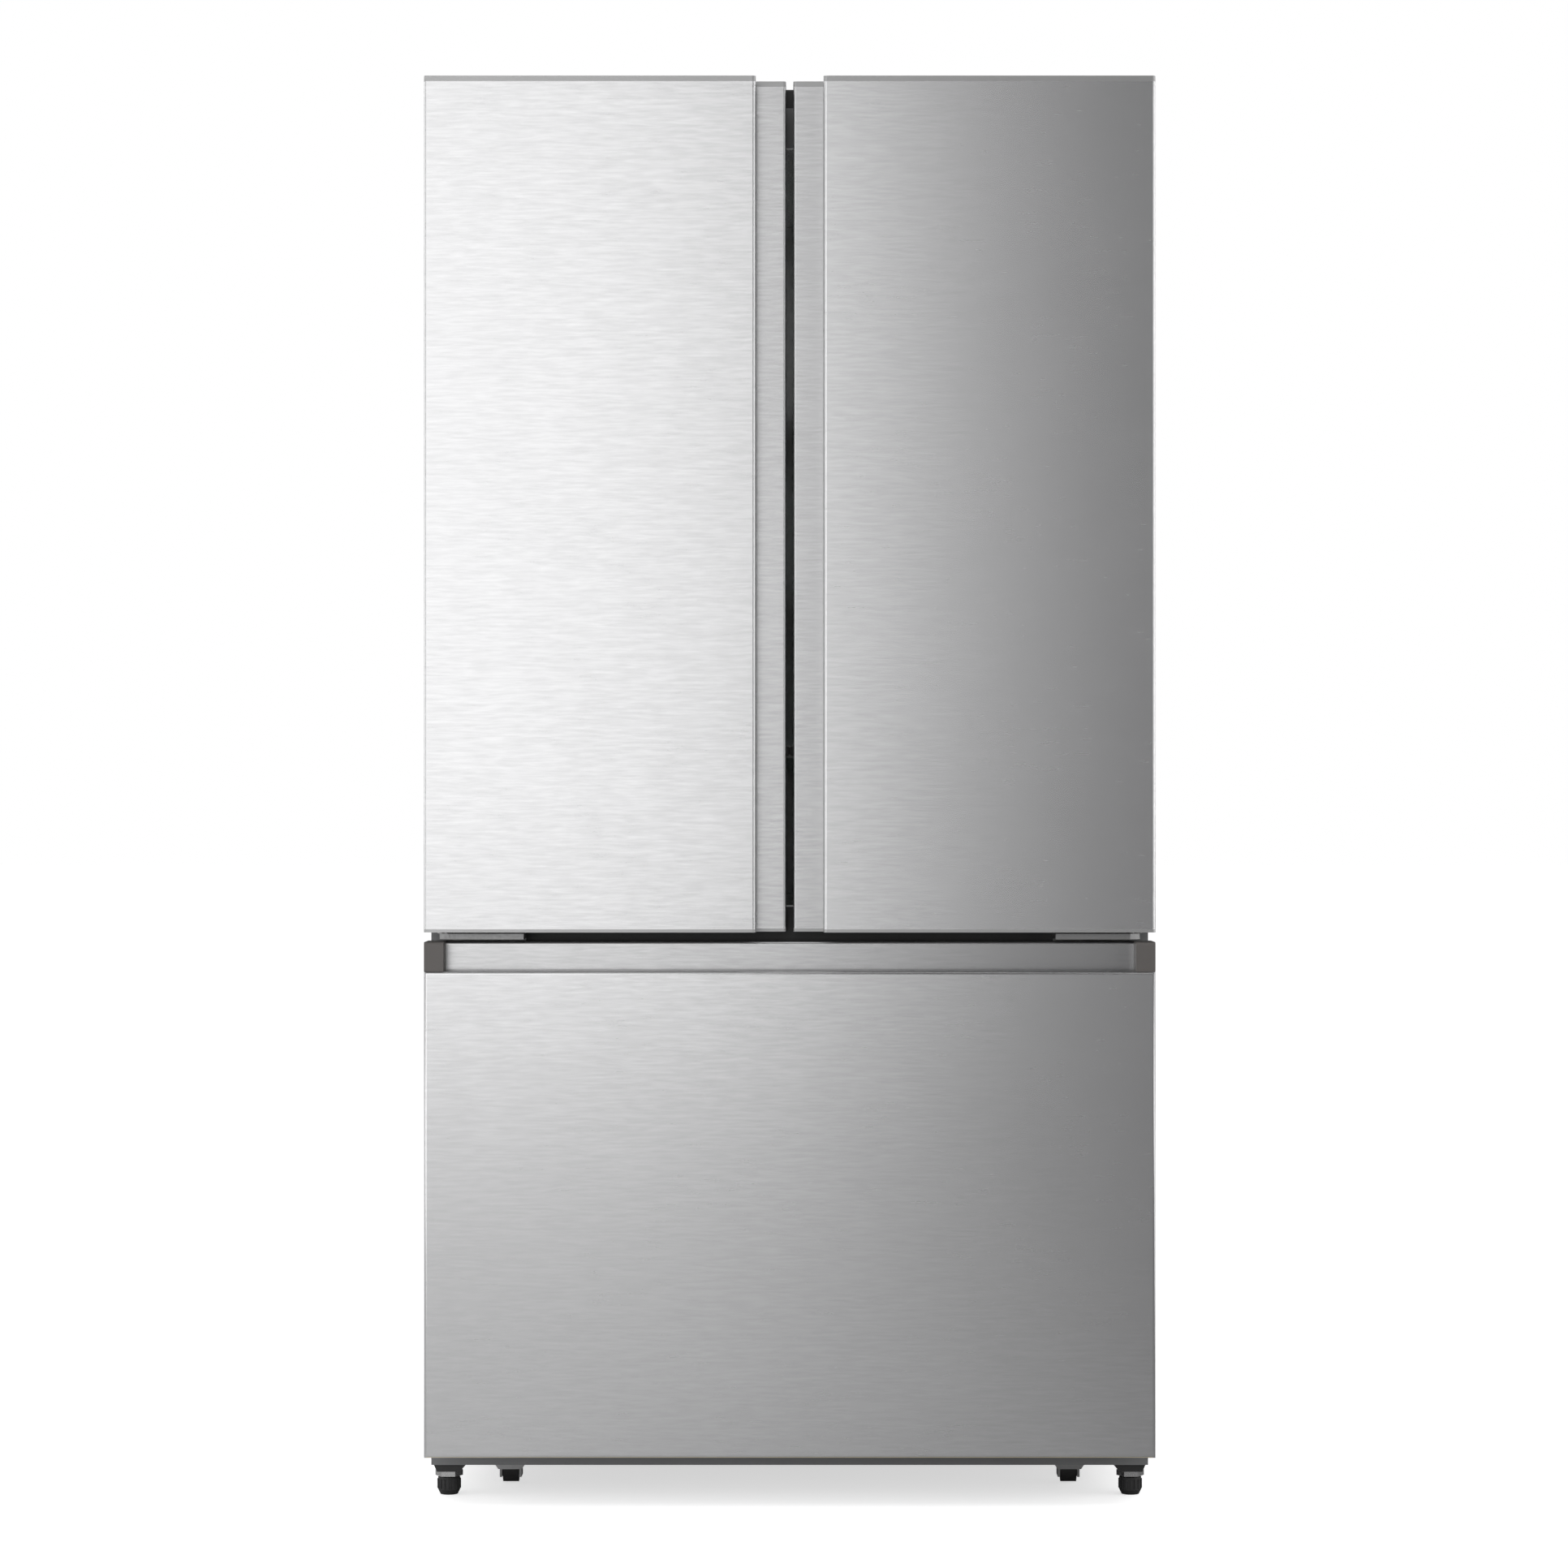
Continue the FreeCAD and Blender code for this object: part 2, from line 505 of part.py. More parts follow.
def make_hinges():
    """Top hinges under their full-width cover, and the hinges between doors and drawer."""
    body = new_body("top_hinge")
    levels = ("case_top", "case_top+plate_thick")
    grow(body, "XY", *levels, rect("-plate_out", "-plate_in", f"{CASE_FRONT}+plate", "plate_rear"))
    arm = rect("-hinge_out-hinge_arm", "-hinge_out+hinge_arm", HINGE_Y, f"{CASE_FRONT}+plate")
    grow(body, "XY", *levels, arm)
    grow(body, "XY", *levels, disc("-hinge_out", HINGE_Y, "hinge_arm"))
    grow(body, "XY", "case_top-pin_down", "case_top", disc("-hinge_out", HINGE_Y, "pin"))
    keep(pair("upper_hinges", body), "top_hinges")

    body = new_body("cover")
    grow(body, "XY", "case_top", "cover_high", rect("-cover_out", "cover_out", "cover_front", "cover_rear"))
    soften(body, "lip", "X", [("cover_front", "cover_high"), ("cover_rear", "cover_high")])
    for side in ("-", ""):
        ends = [f"{side}cover_hollow", f"{side}(cover_out+cover_skin)"]
        ends.sort(key=size)
        hollow = rect(*ends, "cover_front-cover_skin", "cover_rear-cover_skin")
        cut(body, "XY", "case_top", "cover_high-2*cover_skin", hollow)
    keep(body, "hinge_cover")

    body = new_body("middle_hinge")
    levels = ("middle_low", "middle_low+middle_thick")
    edge = f"{FRONT}+middle_front"
    tongue = [("-flange_out", edge), ("-middle_in_edge", edge), ("-middle_in_edge", CASE_FRONT),
              ("-hinge_out-middle_nose", CASE_FRONT), ("-hinge_out-middle_nose", HINGE_Y)]
    grow(body, "XY", *levels, tongue)
    lug = rect("-flange_out", "-middle_in_edge", "flange_low", "flange_low+flange_tall")
    grow(body, "XZ", f"{CASE_FRONT}-flange_thick", CASE_FRONT, lug)
    grow(body, "XY", levels[1], f"{levels[1]}+pin_up", disc("-hinge_out", HINGE_Y, "pin"))
    keep(pair("middle_hinges", body), "center_hinges")

    screws = []
    top = "case_top+plate_thick"
    for name, across, along in (("a", "screw_out", "screw_row"), ("b", "screw_in", "screw_row"),
                                ("c", "screw_in", "screw_front")):
        screws.append(rod("hinge_screw_" + name, (f"-{across}", along, top), "Z", "screw_r", "screw_tall"))
    lug_front = f"{CASE_FRONT}-flange_thick-screw_tall"
    for name, across in (("d", "flange_out-3*screw_r"), ("e", "middle_in_edge+3*screw_r")):
        place = (f"-({across})", lug_front, "middle_low+middle_thick+plate_thick")
        screws.append(rod("lug_screw_" + name, place, "Y", "screw_r/2", "screw_tall"))
    spacing = f"(bay_top+2*screw_r+(case_top-bay_top-4*screw_r)/{BACK_SCREWS - 1}*"
    for index in range(BACK_SCREWS):
        place = ("-case_half+2*screw_r", "case_rear", f"{spacing}{index})")
        screws.append(rod(f"back_screw_{index}", place, "Y", "screw_r", "screw_tall"))
    screws += [mirrored(item.Name + "_right", item) for item in screws]
    keep(group("screw_set", screws), "screws")


# ---------------------------------------------------------------- fresh food doors

def make_left_door():
    """Every piece that swings with the left door. The right door mirrors them."""
    upright = (SKIN_LOW, SKIN_TOP)
    beyond = f"{FOAM_BACK}+liner*2"
    inside = "(-wide/2+sheet_metal)"
    body = new_body("skin")
    grow(body, "XY", *upright, rect(DOOR_OUT, "-panel_edge", FRONT, FOAM_BACK))
    edge_in = "(-panel_edge-sheet_metal)"
    cut(body, "XY", *upright, rect(inside, edge_in, SKIN_BACK, beyond))
    soften(body, "corner-sheet_metal", "Z", [(inside, SKIN_BACK), (edge_in, SKIN_BACK)])
    soften(body, "corner", "Z", [(DOOR_OUT, FRONT), ("-panel_edge", FRONT)])
    cut(body, "XY", *upright, rect(f"{edge_in}-liner", "-panel_edge+liner", HEM, beyond))
    notch = rect("-wide/2-liner", "-notch_in", NOTCH_FRONT, beyond)
    cut(body, "XY", "notch_floor-cup", f"{SKIN_TOP}+liner", notch)
    keep(body, "left_skin")

    body = new_body("grip")
    edge_back = "(-door_gap/2-plate)"
    pocket_back = "(-pocket_in-plate)"
    section = [(DOOR_IN, FOAM_BACK), (edge_back, FOAM_BACK), (edge_back, f"{GRIP}+plate"),
               (pocket_back, f"{GRIP}+plate"), (pocket_back, SKIN_BACK), (f"{edge_in}-corner", SKIN_BACK),
               (edge_in, f"{SKIN_BACK}+corner"), (edge_in, HEM), ("-pocket_in", HEM), ("-pocket_in", GRIP),
               (DOOR_IN, GRIP)]
    grow(body, "XY", *upright, section)
    soften(body, "lip", "Z", [(DOOR_IN, GRIP), ("-pocket_in", HEM)])
    soften(body, "scoop", "Z", [("-pocket_in", GRIP)])
    keep(body, "left_handle")

    cup_low = "(notch_floor-cup)"
    cup = rect(inside, "-notch_in+plate", f"{NOTCH_FRONT}-plate", FOAM_BACK)
    boss = rect(inside, "-boss_in", f"{FRONT}+boss_back", FOAM_BACK)
    boss_top = f"({SKIN_LOW}+boss)"
    body = new_body("core")
    grow(body, "XY", *upright, [(inside, SKIN_BACK), (pocket_back, SKIN_BACK), (pocket_back, f"{GRIP}+plate"),
                                (edge_back, f"{GRIP}+plate"), (edge_back, FOAM_BACK), (inside, FOAM_BACK)])
    soften(body, "corner-sheet_metal", "Z", [(inside, SKIN_BACK)])
    cut(body, "XY", cup_low, f"{SKIN_TOP}+liner", rect(f"{inside}-liner", "-notch_in+plate",
                                                       f"{NOTCH_FRONT}-plate", beyond))
    cut(body, "XY", f"{SKIN_LOW}-liner", boss_top, rect(f"{inside}-liner", "-boss_in",
                                                        f"{FRONT}+boss_back", beyond))
    keep(body, "left_foam")

    plan = [(DOOR_OUT, FRONT), ("-panel_edge", FRONT), ("-panel_edge", HEM), ("-pocket_in", HEM),
            ("-pocket_in", GRIP), (DOOR_IN, GRIP), (DOOR_IN, FOAM_BACK), (DOOR_OUT, FOAM_BACK)]
    fronts = [(DOOR_OUT, FRONT), ("-panel_edge", FRONT)]
    top = new_body("top_cap")
    grow(top, "XY", SKIN_TOP, "tall", plan)
    soften(top, "corner", "Z", fronts)
    soften(top, "lip", "Z", [(DOOR_IN, GRIP)])
    soften(top, "scoop", "Z", [("-pocket_in", GRIP)])
    grow(top, "XY", cup_low, SKIN_TOP, cup)
    cut(top, "XY", "notch_floor", "tall+liner", notch)
    cut(top, "XY", cup_low, "notch_floor", disc("-hinge_out", HINGE_Y, "pin+fit"))
    low = new_body("low_cap")
    grow(low, "XY", "door_low", SKIN_LOW, plan)
    soften(low, "corner", "Z", fronts)
    soften(low, "lip", "Z", [(DOOR_IN, GRIP)])
    soften(low, "scoop", "Z", [("-pocket_in", GRIP)])
    grow(low, "XY", SKIN_LOW, boss_top, boss)
    cut(low, "XY", "door_low", f"{boss_top}-plate", disc("-hinge_out", HINGE_Y, "pin+fit"))
    keep(group("caps", [top, low]), "left_caps")

    body = new_body("inner_wall")
    grow(body, "XZ", FOAM_BACK, PANEL_BACK, rect(inside, edge_back, SKIN_LOW, SKIN_TOP))
    dyke = ("-dyke_out", "-dyke_in", "dyke_low", "dyke_top")
    dyke_back = f"({PANEL_BACK}+dyke_deep)"
    grow(body, "XZ", PANEL_BACK, dyke_back, rect(*dyke))
    soften(body, "lip*2", "Y", rect(*dyke))
    well = rect("-dyke_out+dyke_wide", "-dyke_in-dyke_wide", "dyke_low", "dyke_top-dyke_wide")
    cut(body, "XZ", PANEL_BACK, f"{dyke_back}+liner", well)
    cut(body, "XY", cup_low, f"{SKIN_TOP}+liner", notch)
    keep(body, "left_liner")

    reach = (PANEL_BACK, f"({PANEL_BACK}+gasket_thick)")
    seal = ring("seal", ("-gasket_out", "-gasket_in"), ("gasket_low", "gasket_top"), "gasket_wide", reach)
    keep(seal, "left_gasket")

    bins = []
    for index in range(BIN_COUNT):
        low = f"(bin_low+bin_step*{index})"
        along = (f"({PANEL_BACK}+bin_clear)", "bin_rear")
        bins.append(tub(f"bin_{index}", ("-bin_out", "-bin_in"), along, (low, f"({low}+bin_tall)"),
                        "bin_wall", "bin_corner"))
    keep(group("bin_set", bins), "left_bins")


def make_mullion():
    """The bar that bridges the doors, folded back at rest, and the arms it turns on."""
    axis = ("-mullion_out", "mullion_axis")
    body = new_body("bar")
    levels = ("mullion_low", "mullion_top")
    span = rect("-mullion_out-mullion_half", "-mullion_out+mullion_half", "mullion_axis",
                "mullion_axis+mullion_long")
    grow(body, "XY", *levels, span)
    grow(body, "XY", *levels, disc(*axis, "mullion_half"))
    soften(body, "lip", "Z", [("-mullion_out-mullion_half", "mullion_axis+mullion_long"),
                              ("-mullion_out+mullion_half", "mullion_axis+mullion_long")])
    socket = disc(*axis, "mullion_pin+fit")
    cut(body, "XY", "mullion_low", "mullion_low+mullion_bore", socket)
    cut(body, "XY", "mullion_top-mullion_bore", "mullion_top", socket)
    keep(body, "mullion_bar")

    arms = []
    low_arm = ("mullion_low-bracket_gap-bracket_thick", "mullion_low-bracket_gap")
    high_arm = ("mullion_top+bracket_gap", "mullion_top+bracket_gap+bracket_thick")
    low_pin = (low_arm[1], "mullion_low+mullion_bore-bracket_gap")
    high_pin = ("mullion_top-mullion_bore+bracket_gap", high_arm[0])
    for name, levels, pin in (("low_arm", low_arm, low_pin), ("high_arm", high_arm, high_pin)):
        body = new_body(name)
        grow(body, "XY", *levels, rect("-bracket_out", "-bracket_in", PANEL_BACK,
                                       "mullion_axis+mullion_reach"))
        grow(body, "XY", *levels, rect("-bracket_in", "-mullion_out", "mullion_axis-mullion_reach",
                                       "mullion_axis+mullion_reach"))
        grow(body, "XY", *levels, disc(*axis, "mullion_reach"))
        grow(body, "XY", *pin, disc(*axis, "mullion_pin"))
        arms.append(body)
    keep(group("arms", arms), "mullion_hinges")


def make_right_door():
    """The right door is the left door's mirror image, without the mullion."""
    for part in ("skin", "handle", "caps", "foam", "liner", "gasket", "bins"):
        keep(mirrored("right_" + part + "_twin", nodes["left_" + part]), "right_" + part)


# ---------------------------------------------------------------- freezer drawer

def make_drawer_front():
    """The drawer front: the door section laid on its side, closed by two end caps."""
    half = ("-wide/2", "wide/2")
    inside = ("(-wide/2+sheet_metal)", "(wide/2-sheet_metal)")
    beyond = f"{FOAM_BACK}+liner*2"
    skin_top = "(panel_top-sheet_metal)"
    body = new_body("drawer_skin")
    grow(body, "XZ", FRONT, FOAM_BACK, rect(*half, "drawer_low", "panel_top"))
    cut(body, "XZ", SKIN_BACK, beyond, rect(*inside, "drawer_low+sheet_metal", skin_top))
    soften(body, "corner-sheet_metal", "Z", [(inside[0], SKIN_BACK), (inside[1], SKIN_BACK)])
    soften(body, "corner", "Z", [(half[0], FRONT), (half[1], FRONT)])
    cut(body, "XZ", HEM, beyond, rect("-wide/2-liner", "wide/2+liner", f"{skin_top}-liner/4", "panel_top+liner"))
    keep(body, "freezer_skin")

    body = new_body("drawer_grip")
    top_back = "(drawer_top-plate)"
    scoop_back = "(scoop_low-plate)"
    section = [(FOAM_BACK, "drawer_top"), (FOAM_BACK, top_back), (f"{GRIP}+plate", top_back),
               (f"{GRIP}+plate", scoop_back), (SKIN_BACK, scoop_back), (SKIN_BACK, skin_top),
               (HEM, skin_top), (HEM, "scoop_low"), (GRIP, "scoop_low"), (GRIP, "drawer_top")]
    grow(body, "YZ", "-end_cap_in", "end_cap_in", section)
    soften(body, "lip*2-plate", "X", [(GRIP, "drawer_top")])
    soften(body, "lip", "X", [(HEM, "scoop_low")])
    soften(body, "scoop", "X", [(GRIP, "scoop_low")])
    keep(body, "freezer_handle")

    body = new_body("end_cap")
    grow(body, "XZ", SKIN_BACK, FOAM_BACK, rect(inside[0], "-end_cap_in", scoop_back, skin_top))
    soften(body, "corner-sheet_metal", "Z", [(inside[0], SKIN_BACK)])
    grow(body, "XZ", f"{FRONT}+end_cap_back", FOAM_BACK, rect(half[0], "-end_cap_in", "panel_top", "drawer_top"))
    grow(body, "XZ", HEM, FOAM_BACK, rect(inside[0], "-end_cap_in", skin_top, "panel_top"))
    soften(body, "corner", "X", [(f"{FRONT}+end_cap_back", "drawer_top")])
    keep(pair("end_caps", body), "freezer_end_caps")

    core = new_body("drawer_core")
    grow(core, "XZ", SKIN_BACK, FOAM_BACK, rect(*inside, "drawer_low+sheet_metal", scoop_back))
    soften(core, "corner-sheet_metal", "Z", [(inside[0], SKIN_BACK), (inside[1], SKIN_BACK)])
    grow(core, "XZ", f"{GRIP}+plate", FOAM_BACK, rect("-end_cap_in", "end_cap_in", scoop_back, top_back))
    keep(core, "freezer_foam")

    body = new_body("drawer_wall")
    grow(body, "XZ", FOAM_BACK, PANEL_BACK, rect("-inner_out", "inner_out", "inner_low", "inner_top"))
    rib = rect("-rib_out", "rib_out", "rib_low", "rib_top")
    grow(body, "XZ", PANEL_BACK, f"{PANEL_BACK}+rib_deep", rib)
    soften(body, "tub_corner", "Y", rib)
    keep(body, "freezer_inner_panel")

    reach = (PANEL_BACK, f"({PANEL_BACK}+gasket_thick)")
    seal = ring("drawer_seal", ("-drawer_gasket_out", "drawer_gasket_out"),
                ("drawer_gasket_low", "drawer_gasket_top"), "gasket_wide", reach)
    keep(seal, "freezer_gasket")


def make_runners():
    """Telescopic runners in three members, and the ledges of the upper tray."""
    along = ("slide_front", "slide_rear")
    top = "(slide_low+slide_tall)"
    body = new_body("outer_runner")
    channel = [("-outer_out", "slide_low"), ("-outer_in", "slide_low"), ("-outer_in", "slide_low+slide_lip"),
               ("-outer_out+slide_lip", "slide_low+slide_lip"), ("-outer_out+slide_lip", f"{top}-slide_lip"),
               ("-outer_in", f"{top}-slide_lip"), ("-outer_in", top), ("-outer_out", top)]
    grow(body, "XZ", *along, channel)
    ledge = new_body("ledge")
    angle = [("-outer_out", "ledge_low"), ("-ledge_in", "ledge_low+ledge_tall-slide_lip"),
             ("-ledge_in", "ledge_low+ledge_tall"), ("-outer_out", "ledge_low+ledge_tall")]
    grow(ledge, "XZ", "slide_front", "ledge_rear", angle)
    fixed = [body, mirrored("outer_runner_right", body), ledge, mirrored("ledge_right", ledge)]
    keep(group("fixed_runners", fixed), "freezer_outer_rails")

    middle = block("middle_runner", ("-middle_out", "-middle_in"), along,
                   ("slide_low+slide_air", f"{top}-slide_air"))
    keep(pair("middle_runners", middle), "freezer_middle_rails")

    body = new_body("inner_runner")
    grow(body, "XZ", PANEL_BACK, "slide_rear", rect("-runner_out", "-inner_in", "slide_low+runner_air",
                                                    f"{top}-runner_air"))
    grow(body, "XZ", PANEL_BACK, f"{PANEL_BACK}+plate_thick", rect("-runner_out", "-foot_in", "foot_low",
                                                                   "foot_top"))
    keep(pair("inner_runners", body), "freezer_inner_rails")


def make_tubs():
    """Freezer basket and tray, and the two crispers."""
    shape = ("tub_wall", "tub_corner")
    keep(tub("deep_tub", ("-basket_out", "basket_out"), ("basket_front", "basket_rear"),
             ("basket_low", "basket_top"), *shape), "freezer_basket")
    keep(tub("tray_tub", ("-tray_out", "tray_out"), ("tray_front", "tray_rear"),
             ("tray_low", "tray_top"), *shape), "freezer_tray")
    drawer = tub("crisper_tub", ("-crisper_out", "-crisper_in"), ("crisper_front", "crisper_rear"),
                 ("crisper_low", "crisper_top"), *shape)
    keep(drawer, "crisper_left")
    keep(mirrored("crisper_twin", drawer), "crisper_right")


# ---------------------------------------------------------------- shelves

def shelf(name, across, low):
    """A glass shelf: a moulded rim and the pane that fills it."""
    rim = new_body(name + "_rim")
    along = ("shelf_front", "shelf_rear")
    grow(rim, "XY", low, f"{low}+shelf_tall", rect(*across, *along))
    soften(rim, "lip*2", "Z", [(across[0], along[0]), (across[1], along[0])])
    inner = (f"{across[0]}+shelf_rim", f"{across[1]}-shelf_rim")
    depth = ("shelf_front+shelf_rim", "shelf_rear-shelf_rim")
    cut(rim, "XY", low, f"{low}+shelf_tall", rect(*inner, *depth))
    pane = block(name + "_pane", inner, depth, (f"{low}+glass_low", f"{low}+glass_low+glass_thick"))
    return rim, pane


def make_shelves():
    """Two rows of split shelves, the crisper cover under them, and the wall tracks."""
    rims = []
    panes = []
    rim, pane = shelf("cover_shelf", ("-shelf_out", "shelf_out"), "cover_low")
    rims.append(rim)
    panes.append(pane)
    for index in range(SHELF_ROWS):
        low = f"(shelf_low+shelf_step*{index})"
        rim, pane = shelf(f"row_{index}", ("-shelf_out", "-shelf_in"), low)
        rims += [rim, mirrored(f"row_{index}_rim_right", rim)]
        panes += [pane, mirrored(f"row_{index}_pane_right", pane)]
    keep(group("rims", rims), "shelf_frames")
    keep(group("panes", panes), "shelf_glass")

    tracks = []
    rear = "(inside_rear-liner)"
    for place in ("track_outer", "track_inner"):
        body = new_body(place + "_rail")
        across = (f"-{place}-track_half", f"-{place}+track_half")
        grow(body, "XY", "track_low", "track_top", rect(*across, f"{rear}-track_deep", rear))
        slot = rect(f"-{place}-track_slot/2", f"-{place}+track_slot/2", "slot_low", "slot_low+slot_tall")
        first = cut(body, "XZ", f"{rear}-track_deep", f"{rear}-track_deep+slot_deep", slot)
        repeat(body, first, "Z", f"slot_step*{TRACK_SLOTS - 1}", TRACK_SLOTS)
        tracks += [body, mirrored(place + "_rail_right", body)]
    keep(group("tracks", tracks), "shelf_tracks")


# ---------------------------------------------------------------- cooling circuit

def finned_coil(name, label, across, along, upward, count):
    """A row of fins threaded on four tubes."""
    body = new_body(name)
    fin = grow(body, "YZ", across[0], f"{across[0]}+fin", rect(*along, *upward))
    rows = [(f"({along[0]}*3+{along[1]})/4", f"({upward[0]}*3+{upward[1]})/4"),
            (f"({along[0]}+{along[1]}*3)/4", f"({upward[0]}*3+{upward[1]})/4"),
            (f"({along[0]}+{along[1]}*3)/4", f"({upward[0]}+{upward[1]}*3)/4"),
            (f"({along[0]}*3+{along[1]})/4", f"({upward[0]}+{upward[1]}*3)/4")]
    for place in rows:
        grow(body, "YZ", f"{across[0]}-tube_r", f"{across[1]}+tube_r", disc(*place, "tube_r"))
    repeat(body, fin, "X", f"({across[1]})-({across[0]})-fin", count)
    keep(body, label)


def make_compressor():
    """Hermetic shell on a mounting plate with four rubber stubs, and two pipe stubs."""
    place = ("shell_x", "shell_y")
    belly = rod("shell_belly", (*place, "shell_low+shell_dome"), "Z", "shell_r", "shell_belly")
    ends = []
    for name, height in (("low", "shell_low+shell_dome"), ("high", "shell_low+shell_dome+shell_belly")):
        dome = doc.addObject("Part::Ellipsoid", name + "_dome")
        bind(dome, "Radius1", "shell_dome")
        bind(dome, "Radius2", "shell_r")
        bind(dome, "Radius3", "shell_r")
        for axis, text in zip(("x", "y", "z"), (*place, height)):
            bind(dome, f"Placement.Base.{axis}", text)
        ends.append(dome)
    plate = block("shell_plate", ("shell_x-mount_half", "shell_x+mount_half"),
                  ("shell_y-mount_deep", "shell_y+mount_deep"), ("shell_low", "shell_low+mount_thick"))
    stubs = []
    for index, (across, along) in enumerate((("-", "-"), ("+", "-"), ("-", "+"), ("+", "+"))):
        base = (f"shell_x{across}stub_out", f"shell_y{along}stub_deep", "foam_low")
        stubs.append(rod(f"stub_{index}", base, "Z", "stub_r", "shell_low-foam_low"))
    ports = []
    for index, height in enumerate(("shell_low+shell_dome", "shell_low+shell_dome+shell_belly")):
        base = ("shell_x+shell_r-plate_thick", "shell_y", height)
        ports.append(rod(f"port_{index}", base, "X", "port_r", "port_long+plate_thick"))
    keep(fuse("compressor_parts", [belly, *ends, plate, *stubs, *ports]), "compressor")


def make_fan():
    """Square condenser fan frame with its motor spider, and the bladed rotor."""
    middle = ("fan_y", "fan_z")
    frame = new_body("fan_ring")
    reach = ("fan_x-fan_thick/2", "fan_x+fan_thick/2")
    square = rect("fan_y-fan_half", "fan_y+fan_half", "fan_z-fan_half", "fan_z+fan_half")
    grow(frame, "YZ", *reach, square)
    soften(frame, "lip*2", "X", square)
    cut(frame, "YZ", *reach, disc(*middle, "fan_bore"))
    spokes = (reach[0], f"{reach[0]}+spider_thick")
    grow(frame, "YZ", *spokes, rect("fan_y-fan_bore-lip", "fan_y+fan_bore+lip",
                                    "fan_z-spider/2", "fan_z+spider/2"))
    grow(frame, "YZ", *spokes, rect("fan_y-spider/2", "fan_y+spider/2",
                                    "fan_z-fan_bore-lip", "fan_z+fan_bore+lip"))
    grow(frame, "YZ", *spokes, disc(*middle, "motor_r"))
    keep(frame, "fan_frame")

    rotor = new_body("rotor")
    grow(rotor, "YZ", "-hub_long/2", "hub_long/2", disc("0", "0", "hub_r"))
    blade = grow(rotor, "XY", "hub_r-lip", "blade_r",
                 [("-blade_tilt", "-blade_half/2"), ("-blade_tilt+blade_thick", "-blade_half/2"),
                  ("blade_tilt", "blade_half/2"), ("blade_tilt-blade_thick", "blade_half/2")])
    around = rotor.newObject("PartDesign::PolarPattern", "blades")
    around.Originals = [blade]
    line = [item for item in rotor.Origin.OriginFeatures if item.Role == "X_Axis"]
    around.Axis = (line[0], [""])
    around.Angle = 360
    around.Occurrences = FAN_BLADES
    rotor.Tip = around
    bind(rotor, "Placement.Base.x", "fan_x+spider_thick/2+fit*2")
    bind(rotor, "Placement.Base.y", "fan_y")
    bind(rotor, "Placement.Base.z", "fan_z")
    keep(rotor, "condenser_fan")


def make_evaporator_cover():
    """The freezer's rear duct cover with its grille."""
    body = new_body("duct_cover")
    faces = ("evap_cover_front", "evap_cover_front+evap_cover_thick")
    grow(body, "XZ", *faces, rect("-evap_cover_out", "evap_cover_out", "evap_cover_low", "evap_cover_top"))
    slot = rect("-grille_out", "-grille_out+grille_wide", "grille_low", "grille_low+grille_tall")
    first = cut(body, "XZ", *faces, slot)
    repeat(body, first, "X", f"grille_step*{GRILLE_COUNT - 1}", GRILLE_COUNT)
    keep(body, "evaporator_cover")


def make_cooling():
    make_compressor()
    make_fan()
    finned_coil("bay_coil", "condenser", ("coil_in", "coil_out"), ("coil_front", "coil_rear"),
                ("coil_low", "coil_top"), COIL_FINS)
    finned_coil("cold_coil", "evaporator", ("-evap_out", "evap_out"), ("evap_front", "evap_rear"),
                ("evap_low", "evap_top"), EVAP_FINS)
    make_evaporator_cover()


def check_and_export():
    """Stops on any failed object or bad solid, then writes one STEP file for each sub-part."""
    doc.recompute()
    failed = [item.Label for item in doc.Objects if {"Invalid", "Error"} & set(item.State)]
    if failed:
        raise RuntimeError("failed objects: " + ", ".join(failed))
    for label, item in nodes.items():
        if item.Shape.isNull() or not item.Shape.isValid() or not item.Shape.Solids:
            raise RuntimeError("bad shape: " + label)
    os.makedirs("parts", exist_ok=True)
    for label, item in nodes.items():
        item.Shape.exportStep(f"parts/{label}.step")
    print(len(nodes), "sub-parts")


fill_sheet()
make_case()
make_back()
make_base()
make_hinges()
make_left_door()
make_mullion()
make_right_door()
make_drawer_front()
make_runners()
make_tubs()
make_shelves()
make_cooling()
check_and_export()
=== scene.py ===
"""French door refrigerator: finishes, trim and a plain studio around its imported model.

Metres, +Z up, the doors face -Y. Every piece rides on the body that carries it.
"""
import math

import bmesh
import bpy
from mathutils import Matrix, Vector


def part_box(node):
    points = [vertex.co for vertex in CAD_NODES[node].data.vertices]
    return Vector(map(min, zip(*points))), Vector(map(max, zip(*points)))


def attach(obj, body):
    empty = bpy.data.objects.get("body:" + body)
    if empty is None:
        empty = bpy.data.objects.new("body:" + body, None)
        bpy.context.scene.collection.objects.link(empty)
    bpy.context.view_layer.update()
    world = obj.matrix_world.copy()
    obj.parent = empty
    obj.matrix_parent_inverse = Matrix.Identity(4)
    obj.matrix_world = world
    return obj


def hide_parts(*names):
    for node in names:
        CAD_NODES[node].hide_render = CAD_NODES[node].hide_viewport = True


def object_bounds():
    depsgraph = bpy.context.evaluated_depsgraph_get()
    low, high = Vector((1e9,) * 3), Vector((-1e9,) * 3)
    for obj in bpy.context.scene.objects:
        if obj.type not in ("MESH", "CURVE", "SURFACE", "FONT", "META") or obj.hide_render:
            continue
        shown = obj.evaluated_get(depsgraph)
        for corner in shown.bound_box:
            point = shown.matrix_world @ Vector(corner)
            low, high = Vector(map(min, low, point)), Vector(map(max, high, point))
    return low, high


bl_info = {
    "name": "French Door Refrigerator",
    "version": (1, 0, 0),
    "blender": (4, 5, 0),
    "location": "View3D > Sidebar > Refrigerator",
    "description": "Finishes, trim and studio for a french door refrigerator",
    "category": "Object",
}

